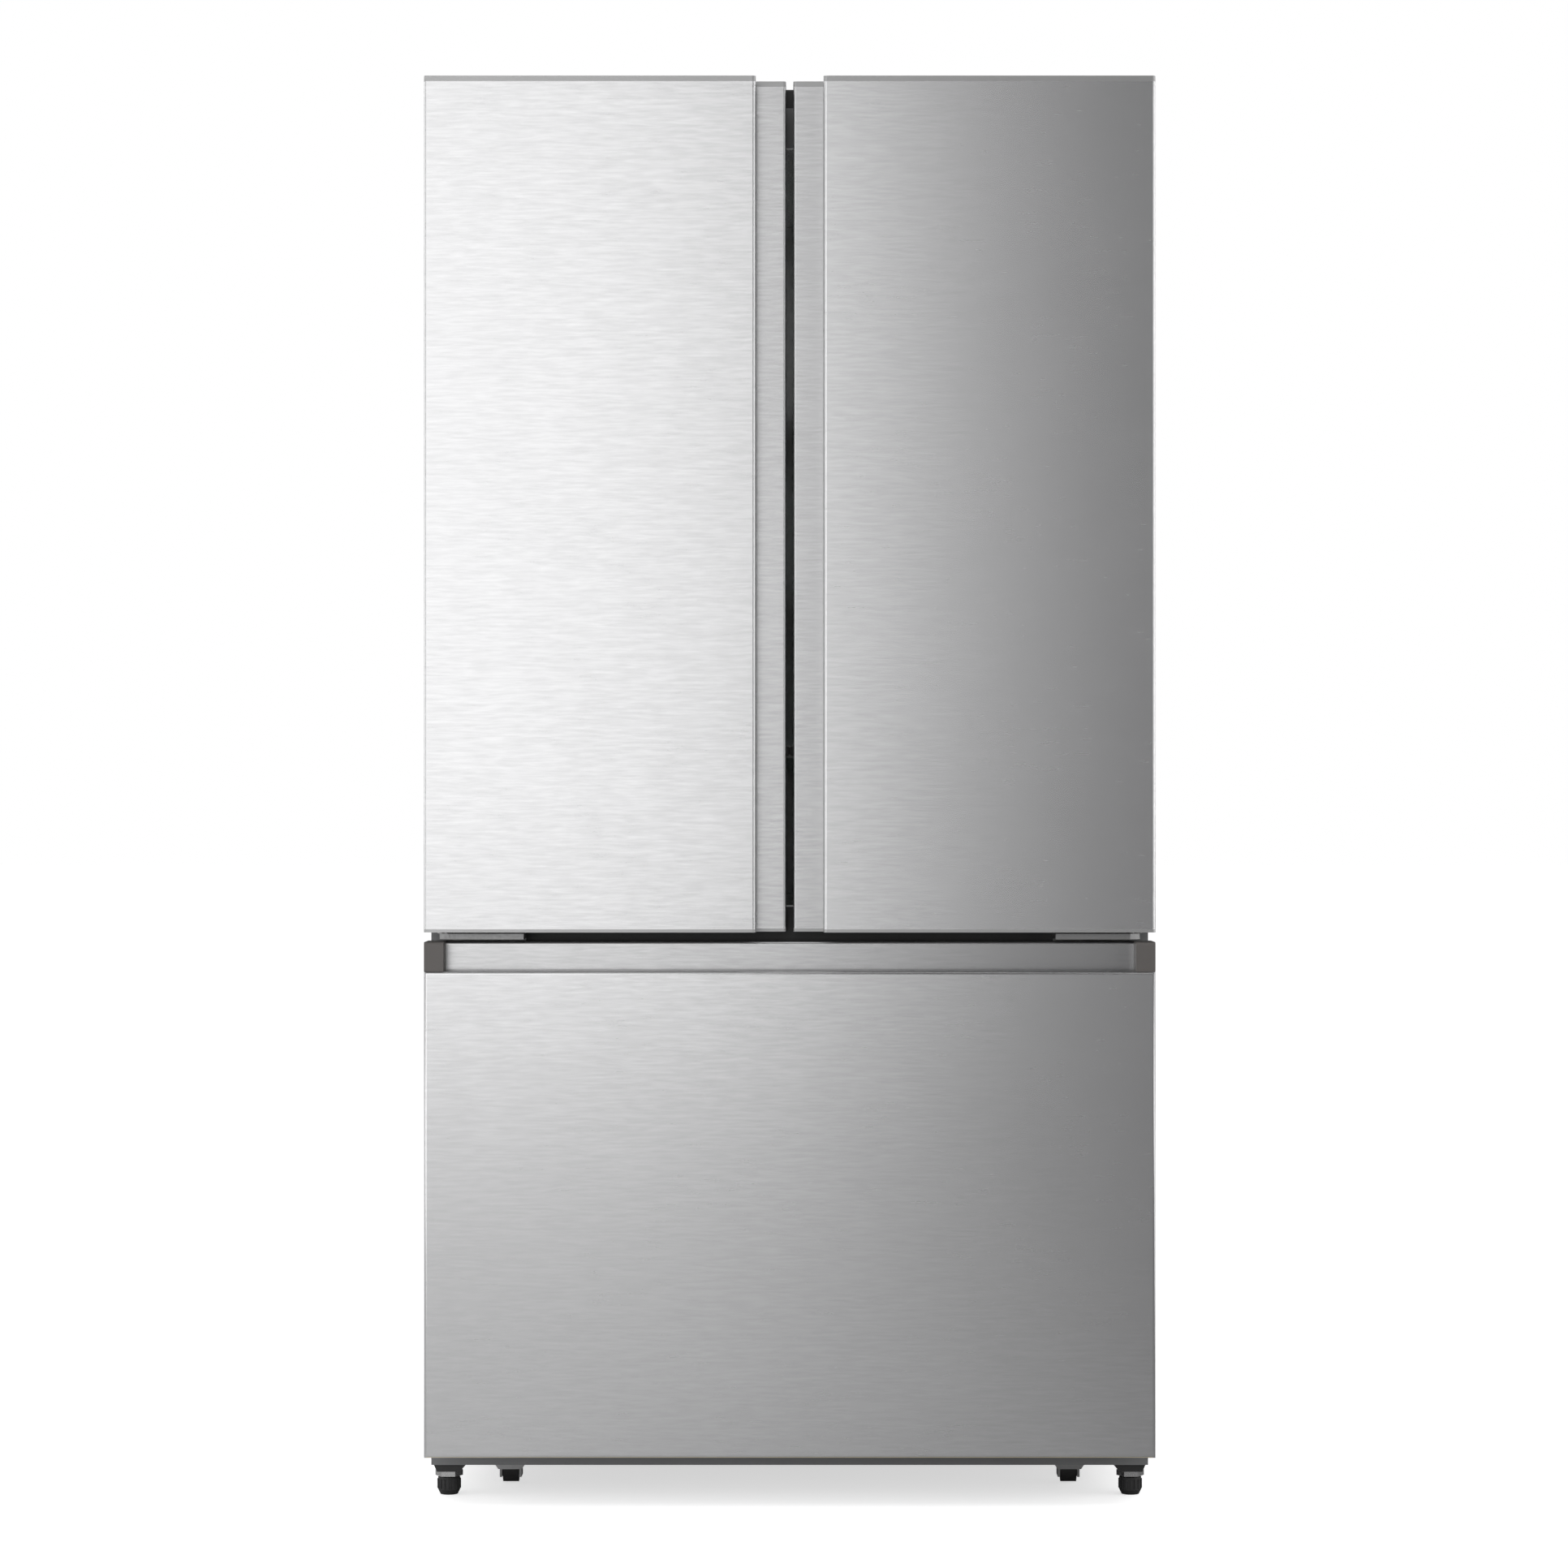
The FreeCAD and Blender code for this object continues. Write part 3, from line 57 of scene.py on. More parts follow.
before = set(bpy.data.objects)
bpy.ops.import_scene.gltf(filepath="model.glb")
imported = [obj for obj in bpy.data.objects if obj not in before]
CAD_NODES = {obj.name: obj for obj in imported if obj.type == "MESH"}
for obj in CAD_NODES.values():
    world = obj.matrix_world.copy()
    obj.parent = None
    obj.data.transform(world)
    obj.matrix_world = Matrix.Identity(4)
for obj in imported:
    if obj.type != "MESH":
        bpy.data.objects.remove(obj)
CAD_BOX = [list(corner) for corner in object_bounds()]
SIDES = (("left", -1), ("right", 1))
UP = (0, 0, 1)

# Places and sizes that several pieces share, in metres.
SHELF_LEVELS = (1.170, 1.420)
CRISPER_COVER = 0.937
BIN_STEP = 0.300
HINGE_PIN = (-0.431, -0.386)
HEM = 0.011        # how far a skin turns back round the edge of its panel
NEAR = 0.0015      # how close to a side of the box still counts as on it
LENS_SHIFT = (-7 / 1932, 35 / 1932)     # across and up, as shares of the frame's width


# ---------------------------------------------------------------- settings

class RefrigeratorSizes(bpy.types.PropertyGroup):
    sheet: bpy.props.FloatProperty(
        name="Sheet", description="Thickness of the stainless skins", default=0.001,
        min=0.0005, max=0.002, unit="LENGTH")
    roll: bpy.props.FloatProperty(
        name="Edge Roll", description="Radius that the skins are rolled to at their edges", default=0.004,
        min=0.001, max=0.006, unit="LENGTH")
    rib_height: bpy.props.FloatProperty(
        name="Rib Height", description="How far ribs stand out of moulded walls", default=0.003,
        min=0.001, max=0.006, unit="LENGTH")
    soft_edge: bpy.props.FloatProperty(
        name="Soft Edge", description="Radius on the edges of moulded trim", default=0.0012,
        min=0.0002, max=0.003, unit="LENGTH")


class RefrigeratorColours(bpy.types.PropertyGroup):
    steel: bpy.props.FloatVectorProperty(
        name="Stainless", description="Colour of the brushed skins", subtype="COLOR", size=3,
        default=(0.70, 0.70, 0.705), min=0.0, max=1.0)
    case: bpy.props.FloatVectorProperty(
        name="Case Paint", description="Colour of the painted sides", subtype="COLOR", size=3,
        default=(0.22, 0.225, 0.23), min=0.0, max=1.0)
    inside: bpy.props.FloatVectorProperty(
        name="Liner", description="Colour of the moulded inside", subtype="COLOR", size=3,
        default=(0.82, 0.83, 0.84), min=0.0, max=1.0)
    cap: bpy.props.FloatVectorProperty(
        name="End Caps", description="Colour of the caps on doors and drawer", subtype="COLOR", size=3,
        default=(0.135, 0.125, 0.118), min=0.0, max=1.0)


class StudioSettings(bpy.types.PropertyGroup):
    distance: bpy.props.FloatProperty(
        name="Camera Distance", description="From the camera to the doors", default=5.0,
        min=1.0, max=20.0, unit="LENGTH")
    eye: bpy.props.FloatProperty(
        name="Camera Height", description="Height of the level camera", default=0.864,
        min=0.1, max=3.0, unit="LENGTH")
    lens: bpy.props.FloatProperty(
        name="Lens", description="Focal length on a 36 mm sensor", default=92.55, min=20.0, max=200.0)
    soft_light: bpy.props.FloatProperty(
        name="Soft Light", description="Power of the large front light in watts", default=68.0,
        min=0.0, max=2000.0)


# ---------------------------------------------------------------- modelling helpers

def everything(mesh):
    return mesh.verts[:] + mesh.edges[:] + mesh.faces[:]


def only(kind, items):
    return [item for item in items if isinstance(item, kind)]


def spaced(first, last, count):
    """Evenly spaced places from the first to the last."""
    return [first + index * (last - first) / (count - 1) for index in range(count)]


def soften(mesh, lines, radius, segments=2):
    """Rounds some edges of a mesh."""
    bmesh.ops.bevel(mesh, geom=list(lines), offset=radius, segments=segments, profile=0.5,
                    affect="EDGES", material=-1)


def new_slab(mesh, low, high, edge=0.0, segments=2):
    """Adds a box between two corners, with all its edges rounded."""
    verts = bmesh.ops.create_cube(mesh, size=1.0)["verts"]
    bmesh.ops.scale(mesh, vec=[b - a for a, b in zip(low, high)], verts=verts)
    bmesh.ops.translate(mesh, vec=[(a + b) / 2 for a, b in zip(low, high)], verts=verts)
    if edge:
        soften(mesh, {line for vert in verts for line in vert.link_edges}, edge, segments)


def new_row(mesh, places, half, low, high, edge, segments=2):
    """Adds a slab at each place across, all between the same (y, z) corners."""
    for place in places:
        new_slab(mesh, (place - half, *low), (place + half, *high), edge, segments)


def new_turning(mesh, profile, centre, axis, steps=32):
    """Spins a chain of (radius, height) points round an axis through the centre."""
    axis = Vector(axis).normalized()
    outward = axis.orthogonal().normalized()
    verts = [mesh.verts.new(Vector(centre) + outward * radius + axis * height) for radius, height in profile]
    lines = [mesh.edges.new(pair) for pair in zip(verts, verts[1:])]
    bmesh.ops.spin(mesh, geom=verts + lines, cent=centre, axis=axis, angle=math.tau, steps=steps,
                   use_merge=True, use_duplicate=False)


def new_hoop(mesh, low, high, profile, start=0.0, axis="Y", corner=0.0):
    """Draws a rectangle through a closed section of (inset, way along the axis from the start) points."""
    profile = [(inset, start + along) for inset, along in profile]
    middle = [(low[0] + high[0]) / 2, (low[1] + high[1]) / 2]
    across = (0, 2) if axis == "Y" else (0, 1)

    def quarter(vert):
        return vert.co[across[0]] > middle[0], vert.co[across[1]] > middle[1]

    def place(right, upper, inset, along):
        u = high[0] - inset if right else low[0] + inset
        v = high[1] - inset if upper else low[1] + inset
        return (u, along, v) if axis == "Y" else (u, v, along)

    verts = [mesh.verts.new(place(right, upper, *profile[0]))
             for right, upper in ((False, False), (True, False), (True, True), (False, True))]
    ring = [mesh.edges.new((verts[i], verts[(i + 1) % 4])) for i in range(4)]
    made = list(verts)
    for inset, along in profile[1:] + profile[:1]:
        grown = bmesh.ops.extrude_edge_only(mesh, edges=ring)["geom"]
        moved = set(only(bmesh.types.BMVert, grown))
        ring = [line for line in only(bmesh.types.BMEdge, grown) if set(line.verts) <= moved]
        for vert in moved:
            vert.co = place(*quarter(vert), inset, along)
        made += moved
    bmesh.ops.remove_doubles(mesh, verts=made, dist=0.000001)
    if corner:
        upright = {edge for vert in made if vert.is_valid for edge in vert.link_edges
                   if quarter(edge.verts[0]) == quarter(edge.verts[1])}
        soften(mesh, upright, corner, 5)


def new_plate(mesh, outline, axis, low, high, edge=0.0):
    """Extrudes a flat outline along an axis, and softens the edges of its two faces."""
    place = {"X": lambda u, v: (low, u, v), "Y": lambda u, v: (u, low, v),
             "Z": lambda u, v: (u, v, low)}[axis]
    first = mesh.faces.new([mesh.verts.new(place(u, v)) for u, v in outline])
    step = [high - low if name == axis else 0.0 for name in "XYZ"]
    grown = bmesh.ops.extrude_face_region(mesh, geom=[first], use_keep_orig=True)["geom"]
    moved = only(bmesh.types.BMVert, grown)
    bmesh.ops.translate(mesh, vec=step, verts=moved)
    if edge:
        second = [face for face in only(bmesh.types.BMFace, grown)
                  if all(vert in moved for vert in face.verts)]
        soften(mesh, {line for face in [first, *second] for line in face.edges}, edge)


def new_stud(mesh, place, axis, radius, tall):
    """A domed screw head with a dished middle, standing on a surface."""
    shape = ((0.0, 0.55), (0.28, 0.55), (0.36, 1.0), (0.72, 0.9), (0.95, 0.55), (1.0, 0.0))
    new_turning(mesh, [(radius * out, tall * up) for out, up in shape], place, axis, 20)


def new_pipe(mesh, route, radius):
    """Adds a round tube that follows a smooth line along a route."""
    curve = bpy.data.curves.new("route", "CURVE")
    curve.dimensions = "3D"
    curve.bevel_depth = radius
    curve.bevel_resolution = 3
    curve.resolution_u = 6
    curve.use_fill_caps = True
    spline = curve.splines.new("NURBS")
    spline.points.add(len(route) - 1)
    for point, place in zip(spline.points, route):
        point.co = (*place, 1.0)
    spline.order_u = 3
    spline.use_endpoint_u = True
    holder = bpy.data.objects.new("route", curve)
    tube = bpy.data.meshes.new_from_object(holder)
    mesh.from_mesh(tube)
    bpy.data.objects.remove(holder)
    bpy.data.curves.remove(curve)
    bpy.data.meshes.remove(tube)


def mirror_across(mesh):
    """Adds the mirror image on the other side of the middle plane."""
    copied = bmesh.ops.duplicate(mesh, geom=everything(mesh))["geom"]
    bmesh.ops.scale(mesh, vec=(-1, 1, 1), verts=only(bmesh.types.BMVert, copied))
    bmesh.ops.reverse_faces(mesh, faces=only(bmesh.types.BMFace, copied))


def repeat_round(mesh, centre, axis, count):
    """Repeats what the mesh holds evenly round an axis through the centre."""
    bmesh.ops.spin(mesh, geom=everything(mesh), cent=centre, axis=axis,
                   angle=math.tau * (count - 1) / count, steps=count - 1, use_duplicate=True)


def finish_piece(mesh, name, slot, body="cabinet", smooth=32):
    """Closes the mesh, gives it its finish and lets it ride on its body."""
    bmesh.ops.remove_doubles(mesh, verts=mesh.verts[:], dist=0.00001)
    bmesh.ops.recalc_face_normals(mesh, faces=mesh.faces[:])
    data = bpy.data.meshes.new(name)
    mesh.to_mesh(data)
    mesh.free()
    data.shade_smooth()
    data.set_sharp_from_angle(angle=math.radians(smooth))
    data.materials.append(finish(slot))
    piece = bpy.data.objects.new(name, data)
    bpy.context.scene.collection.objects.link(piece)
    flats = piece.modifiers.new("flat_faces", "WEIGHTED_NORMAL")
    flats.keep_sharp = True
    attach(piece, body)
    return piece


# ---------------------------------------------------------------- shader helpers

def fill(tree, made, sockets):
    """Links or sets the named inputs of a node."""
    for name, value in sockets.items():
        if isinstance(value, bpy.types.NodeSocket):
            tree.links.new(value, made.inputs[name])
        else:
            made.inputs[name].default_value = value


def add(tree, kind, sockets=None, **settings):
    """Adds a node, sets its properties, fills its inputs and gives back its outputs."""
    made = tree.nodes.new(kind)
    for name, value in settings.items():
        setattr(made, name, value)
    fill(tree, made, sockets or {})
    return made.outputs


def coordinates(tree):
    return add(tree, "ShaderNodeTexCoord")["Object"]


def math_node(tree, operation, first, second, clamp=False):
    return add(tree, "ShaderNodeMath", {0: first, 1: second}, operation=operation, use_clamp=clamp)[0]


def weigh(tree, first, share, second, other, clamp=False):
    """Adds two values, each multiplied by its share."""
    parts = math_node(tree, "MULTIPLY", first, share), math_node(tree, "MULTIPLY", second, other)
    return math_node(tree, "ADD", *parts, clamp=clamp)


def noise(tree, place, scale, detail, rough=0.5):
    sockets = {"Vector": place, "Scale": scale, "Detail": detail, "Roughness": rough}
    return add(tree, "ShaderNodeTexNoise", sockets)[0]


def between(tree, value, low, high):
    """Turns the usual spread of a noise into a range."""
    sockets = {"Value": value, "From Min": 0.3, "From Max": 0.7, "To Min": low, "To Max": high}
    return add(tree, "ShaderNodeMapRange", sockets)[0]


def colour_of(value):
    """Colour and alpha from a grey level, from three parts or from the name of a panel colour."""
    if isinstance(value, str):
        value = getattr(bpy.context.scene.refrigerator_colours, value)
    return (value, value, value, 1.0) if isinstance(value, float) else (*value, 1.0)


def mix_colours(tree, mask, *pair):
    """Mixes two colours by a mask, each a socket or anything that colour_of takes."""
    first, second = (part if isinstance(part, bpy.types.NodeSocket) else colour_of(part) for part in pair)
    return add(tree, "ShaderNodeMix", {0: mask, 6: first, 7: second}, data_type="RGBA")[2]


def shared_group(name, inputs, outputs, wire):
    """The shader group of that name, built the first time that it is asked for."""
    group = bpy.data.node_groups.get(name)
    if group:
        return group
    group = bpy.data.node_groups.new(name, "ShaderNodeTree")
    for label, default in {"Vector": (0.0, 0.0, 0.0), **inputs}.items():
        kind = "NodeSocketFloat" if isinstance(default, float) else "NodeSocketVector"
        group.interface.new_socket(label, in_out="INPUT", socket_type=kind).default_value = default
    for label in outputs:
        group.interface.new_socket(label, in_out="OUTPUT", socket_type="NodeSocketFloat")
    given = group.nodes.new("NodeGroupInput").outputs
    add(group, "NodeGroupOutput", dict(zip(outputs, wire(group, given))))
    return group


def use_group(tree, group, place, **inputs):
    """Places a group in a material; an underscore in an input's name stands for a space."""
    sockets = {name.replace("_", " "): value for name, value in inputs.items()}
    return add(tree, "ShaderNodeGroup", {"Vector": place, **sockets}, node_tree=group)


def grain_group():
    """Fine grain stretched along the direction of working, broad clouds and even flecks."""
    def wire(group, given):
        drawn = add(group, "ShaderNodeVectorMath", {0: given["Vector"], 1: given["Stretch"]},
                    operation="MULTIPLY")[0]
        return (noise(group, drawn, given["Scale"], 5.0, 0.62),
                noise(group, given["Vector"], given["Cloud Scale"], 3.0),
                noise(group, given["Vector"], given["Scale"], 2.0, 0.7))

    inputs = {"Stretch": (1.0, 1.0, 1.0), "Scale": 400.0, "Cloud Scale": 4.0}
    return shared_group("Worked Grain", inputs, ("Grain", "Cloud", "Fleck"), wire)


def wear_group():
    """A mask that is high along rubbed outer edges, broken up so that it isn't an outline."""
    def wire(group, given):
        rounded = add(group, "ShaderNodeBevel", {"Radius": given["Width"]}, samples=4)[0]
        flat = add(group, "ShaderNodeNewGeometry")["Normal"]
        turned = add(group, "ShaderNodeVectorMath", {0: rounded, 1: flat}, operation="DOT_PRODUCT")["Value"]
        edge = math_node(group, "SUBTRACT", 1.0, turned, clamp=True)
        edge = math_node(group, "MULTIPLY", edge, 3.0, clamp=True)
        mask = math_node(group, "MULTIPLY", edge, noise(group, given["Vector"], 90.0, 4.0))
        return [math_node(group, "MULTIPLY", mask, given["Amount"], clamp=True)]

    return shared_group("Rubbed Edges", {"Width": 0.001, "Amount": 0.5}, ["Mask"], wire)


def dust_group():
    """A mask that is high where dust settles, on surfaces that face up."""
    def wire(group, given):
        facing = add(group, "ShaderNodeSeparateXYZ", {0: add(group, "ShaderNodeNewGeometry")["Normal"]})["Z"]
        upward = add(group, "ShaderNodeMapRange", {"Value": facing, "From Min": 0.5, "From Max": 1.0},
                     interpolation_type="SMOOTHSTEP")[0]
        heap = math_node(group, "MULTIPLY", upward, noise(group, given["Vector"], 35.0, 5.0))
        return [math_node(group, "MULTIPLY", heap, given["Amount"], clamp=True)]

    return shared_group("Settled Dust", {"Amount": 0.1}, ["Mask"], wire)


def look(base, second, rough, scale, bump, wear, edge, **more):
    """Two colours, the roughness range, grain scale, bump in millimetres, edge wear and its colour."""
    return dict(base=base, second=second, rough=rough, scale=scale, bump=bump, wear=wear, edge=edge, **more)


# A single number is a grey, and a name is a colour of the panel. Grain scales are per metre.
FINISHES = {
    "case_paint": look("case", 0.195, (0.42, 0.56), 900, 0.05, 0.25, 0.42, dust=0.25),
    "galvanised": look(0.50, 0.36, (0.30, 0.55), 60, 0.01, 0.4, 0.75, metallic=1.0, dust=0.15),
    # black_steel is near black. Where it covers the centre rail between the doors and the drawer, this black
    # is partly painted shade, standing in for the shade in that gap.
    "black_steel": look(0.018, 0.035, (0.35, 0.55), 500, 0.02, 0.5, 0.16),
    "hinge_steel": look(0.40, 0.30, (0.34, 0.50), 300, 0.006, 0.3, 0.62, metallic=1.0),
    "bright_steel": look((0.6666, 0.66, 0.6534), 0.50, (0.18, 0.36), 300, 0.006, 0.3, 0.9, metallic=1.0),
    "foam": look((0.72, 0.62, 0.38), (0.55, 0.45, 0.25), (0.85, 0.98), 250, 0.3, 0.2, (0.8, 0.72, 0.5)),
    "liner_white": look("inside", 0.70, (0.20, 0.34), 350, 0.012, 0.1, 0.92, coat=0.25),
    "cap_grey": look("cap", (0.10, 0.092, 0.087), (0.38, 0.55), 1100, 0.02, 0.5, (0.30, 0.28, 0.27)),
    "band_silver": look(0.50, 0.42, (0.30, 0.42), 700, 0.008, 0.4, 0.8, metallic=0.85),
    "gasket_grey": look(0.075, 0.05, (0.55, 0.75), 600, 0.03, 0.2, 0.14),
    "shelf_white": look(0.78, 0.66, (0.22, 0.38), 420, 0.012, 0.15, 0.92, coat=0.2),
    "dark_plastic": look(0.030, 0.020, (0.40, 0.60), 1000, 0.03, 0.5, 0.11, dust=0.2),
    "roller_black": look(0.022, 0.035, (0.45, 0.65), 700, 0.03, 0.6, 0.10),
    "coil_aluminium": look(0.62, 0.50, (0.28, 0.45), 250, 0.01, 0.3, 0.85, metallic=1.0, dust=0.2),
    "compressor_black": look(0.012, 0.02, (0.15, 0.30), 120, 0.02, 0.3, 0.10, coat=0.5, dust=0.3),
    "copper": look((0.62, 0.26, 0.13), (0.42, 0.17, 0.09), (0.22, 0.42), 160, 0.01, 0.3, (0.9, 0.5, 0.3),
                   metallic=1.0),
    "lamp_lens": look(0.85, 0.75, (0.15, 0.25), 900, 0.02, 0.1, 0.95, glow=1.5),
    "accent_grey": look(0.30, 0.25, (0.30, 0.45), 800, 0.01, 0.3, 0.5),
}
DUST_COLOUR = (0.42, 0.40, 0.37)
NODE_FINISHES = {"left_caps": "band_silver", "right_caps": "band_silver", "center_hinges": "hinge_steel"}


def start_material(name):
    material = bpy.data.materials.new("finish_" + name)
    material.use_nodes = True
    tree = material.node_tree
    return material, tree, tree.nodes["Principled BSDF"]


def bumped(tree, strength, distance, height):
    return add(tree, "ShaderNodeBump", {"Strength": strength, "Distance": distance, "Height": height})[0]


def moulded_or_coated(name, spec):
    """The usual finish: clouded colour, grain in roughness and bump, rubbed edges and some dust."""
    material, tree, shader = start_material(name)
    place = coordinates(tree)
    grain = use_group(tree, grain_group(), place, Scale=float(spec["scale"]), Cloud_Scale=7.0)
    blend = weigh(tree, grain["Grain"], 0.35, grain["Cloud"], 0.65, clamp=True)
    worn = use_group(tree, wear_group(), place, Width=0.0012, Amount=spec["wear"])["Mask"]
    colour = mix_colours(tree, worn, mix_colours(tree, blend, spec["base"], spec["second"]), spec["edge"])
    rough = between(tree, grain["Fleck"], *spec["rough"])
    if "dust" in spec:
        dust = use_group(tree, dust_group(), place, Amount=spec["dust"])["Mask"]
        colour = mix_colours(tree, dust, colour, DUST_COLOUR)
        rough = math_node(tree, "ADD", rough, math_node(tree, "MULTIPLY", dust, 0.5), clamp=True)
    fill(tree, shader, {"Base Color": colour, "Roughness": rough,
                        "Normal": bumped(tree, 0.6, spec["bump"] * 0.001, grain["Grain"]),
                        "Metallic": spec.get("metallic", 0.0), "Coat Weight": spec.get("coat", 0.0),
                        "Coat Roughness": 0.12})
    if "glow" in spec:
        fill(tree, shader, {"Emission Color": colour, "Emission Strength": spec["glow"]})
    return material


def brushed(name, colour, dull):
    """Satin stainless: long brush lines, faint mottling and softly rubbed edges."""
    material, tree, shader = start_material(name)
    place = coordinates(tree)
    lines = use_group(tree, grain_group(), place, Stretch=(0.10, 1.0, 1.0), Scale=320.0, Cloud_Scale=9.0)
    specks = use_group(tree, grain_group(), place, Stretch=(0.5, 1.0, 1.0), Scale=170.0, Cloud_Scale=28.0)
    mark = weigh(tree, lines["Grain"], 0.88, specks["Cloud"], 0.12)
    shade = mix_colours(tree, mark, [part * 1.10 for part in colour], [part * 0.84 for part in colour])
    worn = use_group(tree, wear_group(), place, Width=0.0014, Amount=0.35)["Mask"]
    soft = weigh(tree, lines["Grain"], 0.8, lines["Cloud"], 0.2)
    height = math_node(tree, "ADD", lines["Grain"], math_node(tree, "MULTIPLY", specks["Grain"], 0.3))
    fill(tree, shader, {"Base Color": mix_colours(tree, worn, shade, 0.86),
                        "Roughness": between(tree, soft, dull - 0.018, dull + 0.018),
                        "Normal": bumped(tree, 0.35, 0.00001, height), "Metallic": 1.0})
    return material


def see_through(name, colour, rough, scale):
    """Clear plastic or glass with faint flow marks and a frosted tint in its thickness."""
    material, tree, shader = start_material(name)
    place = coordinates(tree)
    flow = use_group(tree, grain_group(), place, Scale=scale, Cloud_Scale=14.0, Stretch=(1.0, 1.0, 0.4))
    tint = mix_colours(tree, flow["Cloud"], colour, [part * 0.93 for part in colour])
    worn = use_group(tree, wear_group(), place, Width=0.0015, Amount=0.5)["Mask"]
    fill(tree, shader, {
        "Base Color": mix_colours(tree, worn, tint, (0.97, 0.98, 1.0)),
        "Roughness": between(tree, flow["Grain"], rough * 0.7, rough * 1.5),
        "Normal": bumped(tree, 0.3, 0.00005, flow["Cloud"]), "Transmission Weight": 0.92, "IOR": 1.2})
    return material


def finish(name):
    """The finish of that name, built the first time that it is asked for."""
    made = bpy.data.materials.get("finish_" + name)
    if made:
        return made
    steel = bpy.context.scene.refrigerator_colours.steel
    if name == "brushed_stainless":
        return brushed(name, steel, 0.26)
    if name == "handle_grey":
        return brushed(name, [part * 0.82 for part in steel], 0.25)
    if name == "clear_plastic":
        return see_through(name, (0.965, 0.98, 0.99), 0.08, 40.0)
    if name == "shelf_pane":
        return see_through(name, (0.84, 0.95, 0.92), 0.03, 12.0)
    return moulded_or_coated(name, FINISHES[name])


# ---------------------------------------------------------------- operators

class REFRIGERATOR_OT_finishes(bpy.types.Operator):
    """Give every packed sub-part the finish of its own material slot"""
    bl_idname = "refrigerator.finishes"
    bl_label = "Finishes"

    def execute(self, context):
        for node in CAD_NODES.values():
            for place in node.material_slots:
                name = place.material.name.split(".")[0]
                place.material = finish(NODE_FINISHES.get(node.name, name))
        return {"FINISHED"}


class REFRIGERATOR_OT_skins(bpy.types.Operator):
    """Form the stainless skins with edges rolled back to the caps"""
    bl_idname = "refrigerator.skins"
    bl_label = "Stainless Skins"

    def shell(self, node, open_sides, roll_all):
        """The sheet round a node's front, its front edges rolled and some sides cut back to a hem."""
        sizes = bpy.context.scene.refrigerator_sizes
        low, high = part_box(node)
        mesh = bmesh.new()
        new_slab(mesh, low, high)
        back = [face for face in mesh.faces if face.normal.y > 0.9]
        bmesh.ops.delete(mesh, geom=back, context="FACES")
        front = [edge for edge in mesh.edges
                 if all(abs(vert.co.y - low.y) < 1e-5 for vert in edge.verts)
                 and (roll_all or abs(edge.verts[0].co.x - edge.verts[1].co.x) < 1e-5)]
        soften(mesh, front, sizes.roll, 5)
        for wanted in open_sides:
            self.trim(mesh, (0, low.y + HEM, 0), (0, 1, 0), wanted)
        return mesh

    def trim(self, mesh, place, normal, wanted):
        """Cuts the sheet on a plane and removes what lies beyond it and fits the test."""
        bmesh.ops.bisect_plane(mesh, geom=everything(mesh), plane_co=place, plane_no=normal)
        beyond = [face for face in mesh.faces if wanted(face.calc_center_median())]
        bmesh.ops.delete(mesh, geom=beyond, context="FACES")

    def finish_skin(self, mesh, node, body):
        """Turns the sheet outwards, gives it its thickness and lets it take the node's place."""
        loose = [vert for vert in mesh.verts if not vert.link_faces]
        bmesh.ops.delete(mesh, geom=loose, context="VERTS")
        bmesh.ops.recalc_face_normals(mesh, faces=mesh.faces[:])
        if max(mesh.faces, key=lambda face: face.calc_area()).normal.y > 0:
            bmesh.ops.reverse_faces(mesh, faces=mesh.faces[:])
        bmesh.ops.solidify(mesh, geom=mesh.faces[:], thickness=bpy.context.scene.refrigerator_sizes.sheet)
        piece = finish_piece(mesh, node + "_sheet", "brushed_stainless", body, smooth=50)
        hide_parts(node)

    def execute(self, context):
        for side, sign in SIDES:
            node = side + "_skin"
            low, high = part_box(node)
            inner, outer = (high.x, low.x) if sign < 0 else (low.x, high.x)
            cup_front, cup_floor = -0.413, 1.743
            mesh = self.shell(node, [
                lambda spot: abs(spot.x - inner) < NEAR and spot.y > low.y + HEM,
                lambda spot: not low.z + NEAR <= spot.z <= high.z - NEAR and spot.y > low.y + HEM + 0.0001],
                False)
            self.trim(mesh, (0, cup_front, 0), (0, 1, 0), lambda spot: False)
            self.trim(mesh, (0, 0, cup_floor), (0, 0, 1),
                      lambda spot: abs(spot.x - outer) < NEAR and spot.y > cup_front and spot.z > cup_floor)
            self.finish_skin(mesh, node, side + "_door")
        low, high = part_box("freezer_skin")
        mesh = self.shell("freezer_skin", [lambda spot: spot.z > high.z - NEAR and spot.y > low.y + HEM],
                          True)
        self.finish_skin(mesh, "freezer_skin", "freezer_drawer")
        hem = bmesh.new()
        new_hoop(hem, (low.x, low.z), (high.x, high.z + 0.020),
                 [(0.0003, -0.0005), (0.0003, 0.0003), (0.008, 0.0003), (0.008, -0.0005)], start=high.y)
        finish_piece(hem, "freezer_skin_hem", "brushed_stainless", "freezer_drawer")
        return {"FINISHED"}


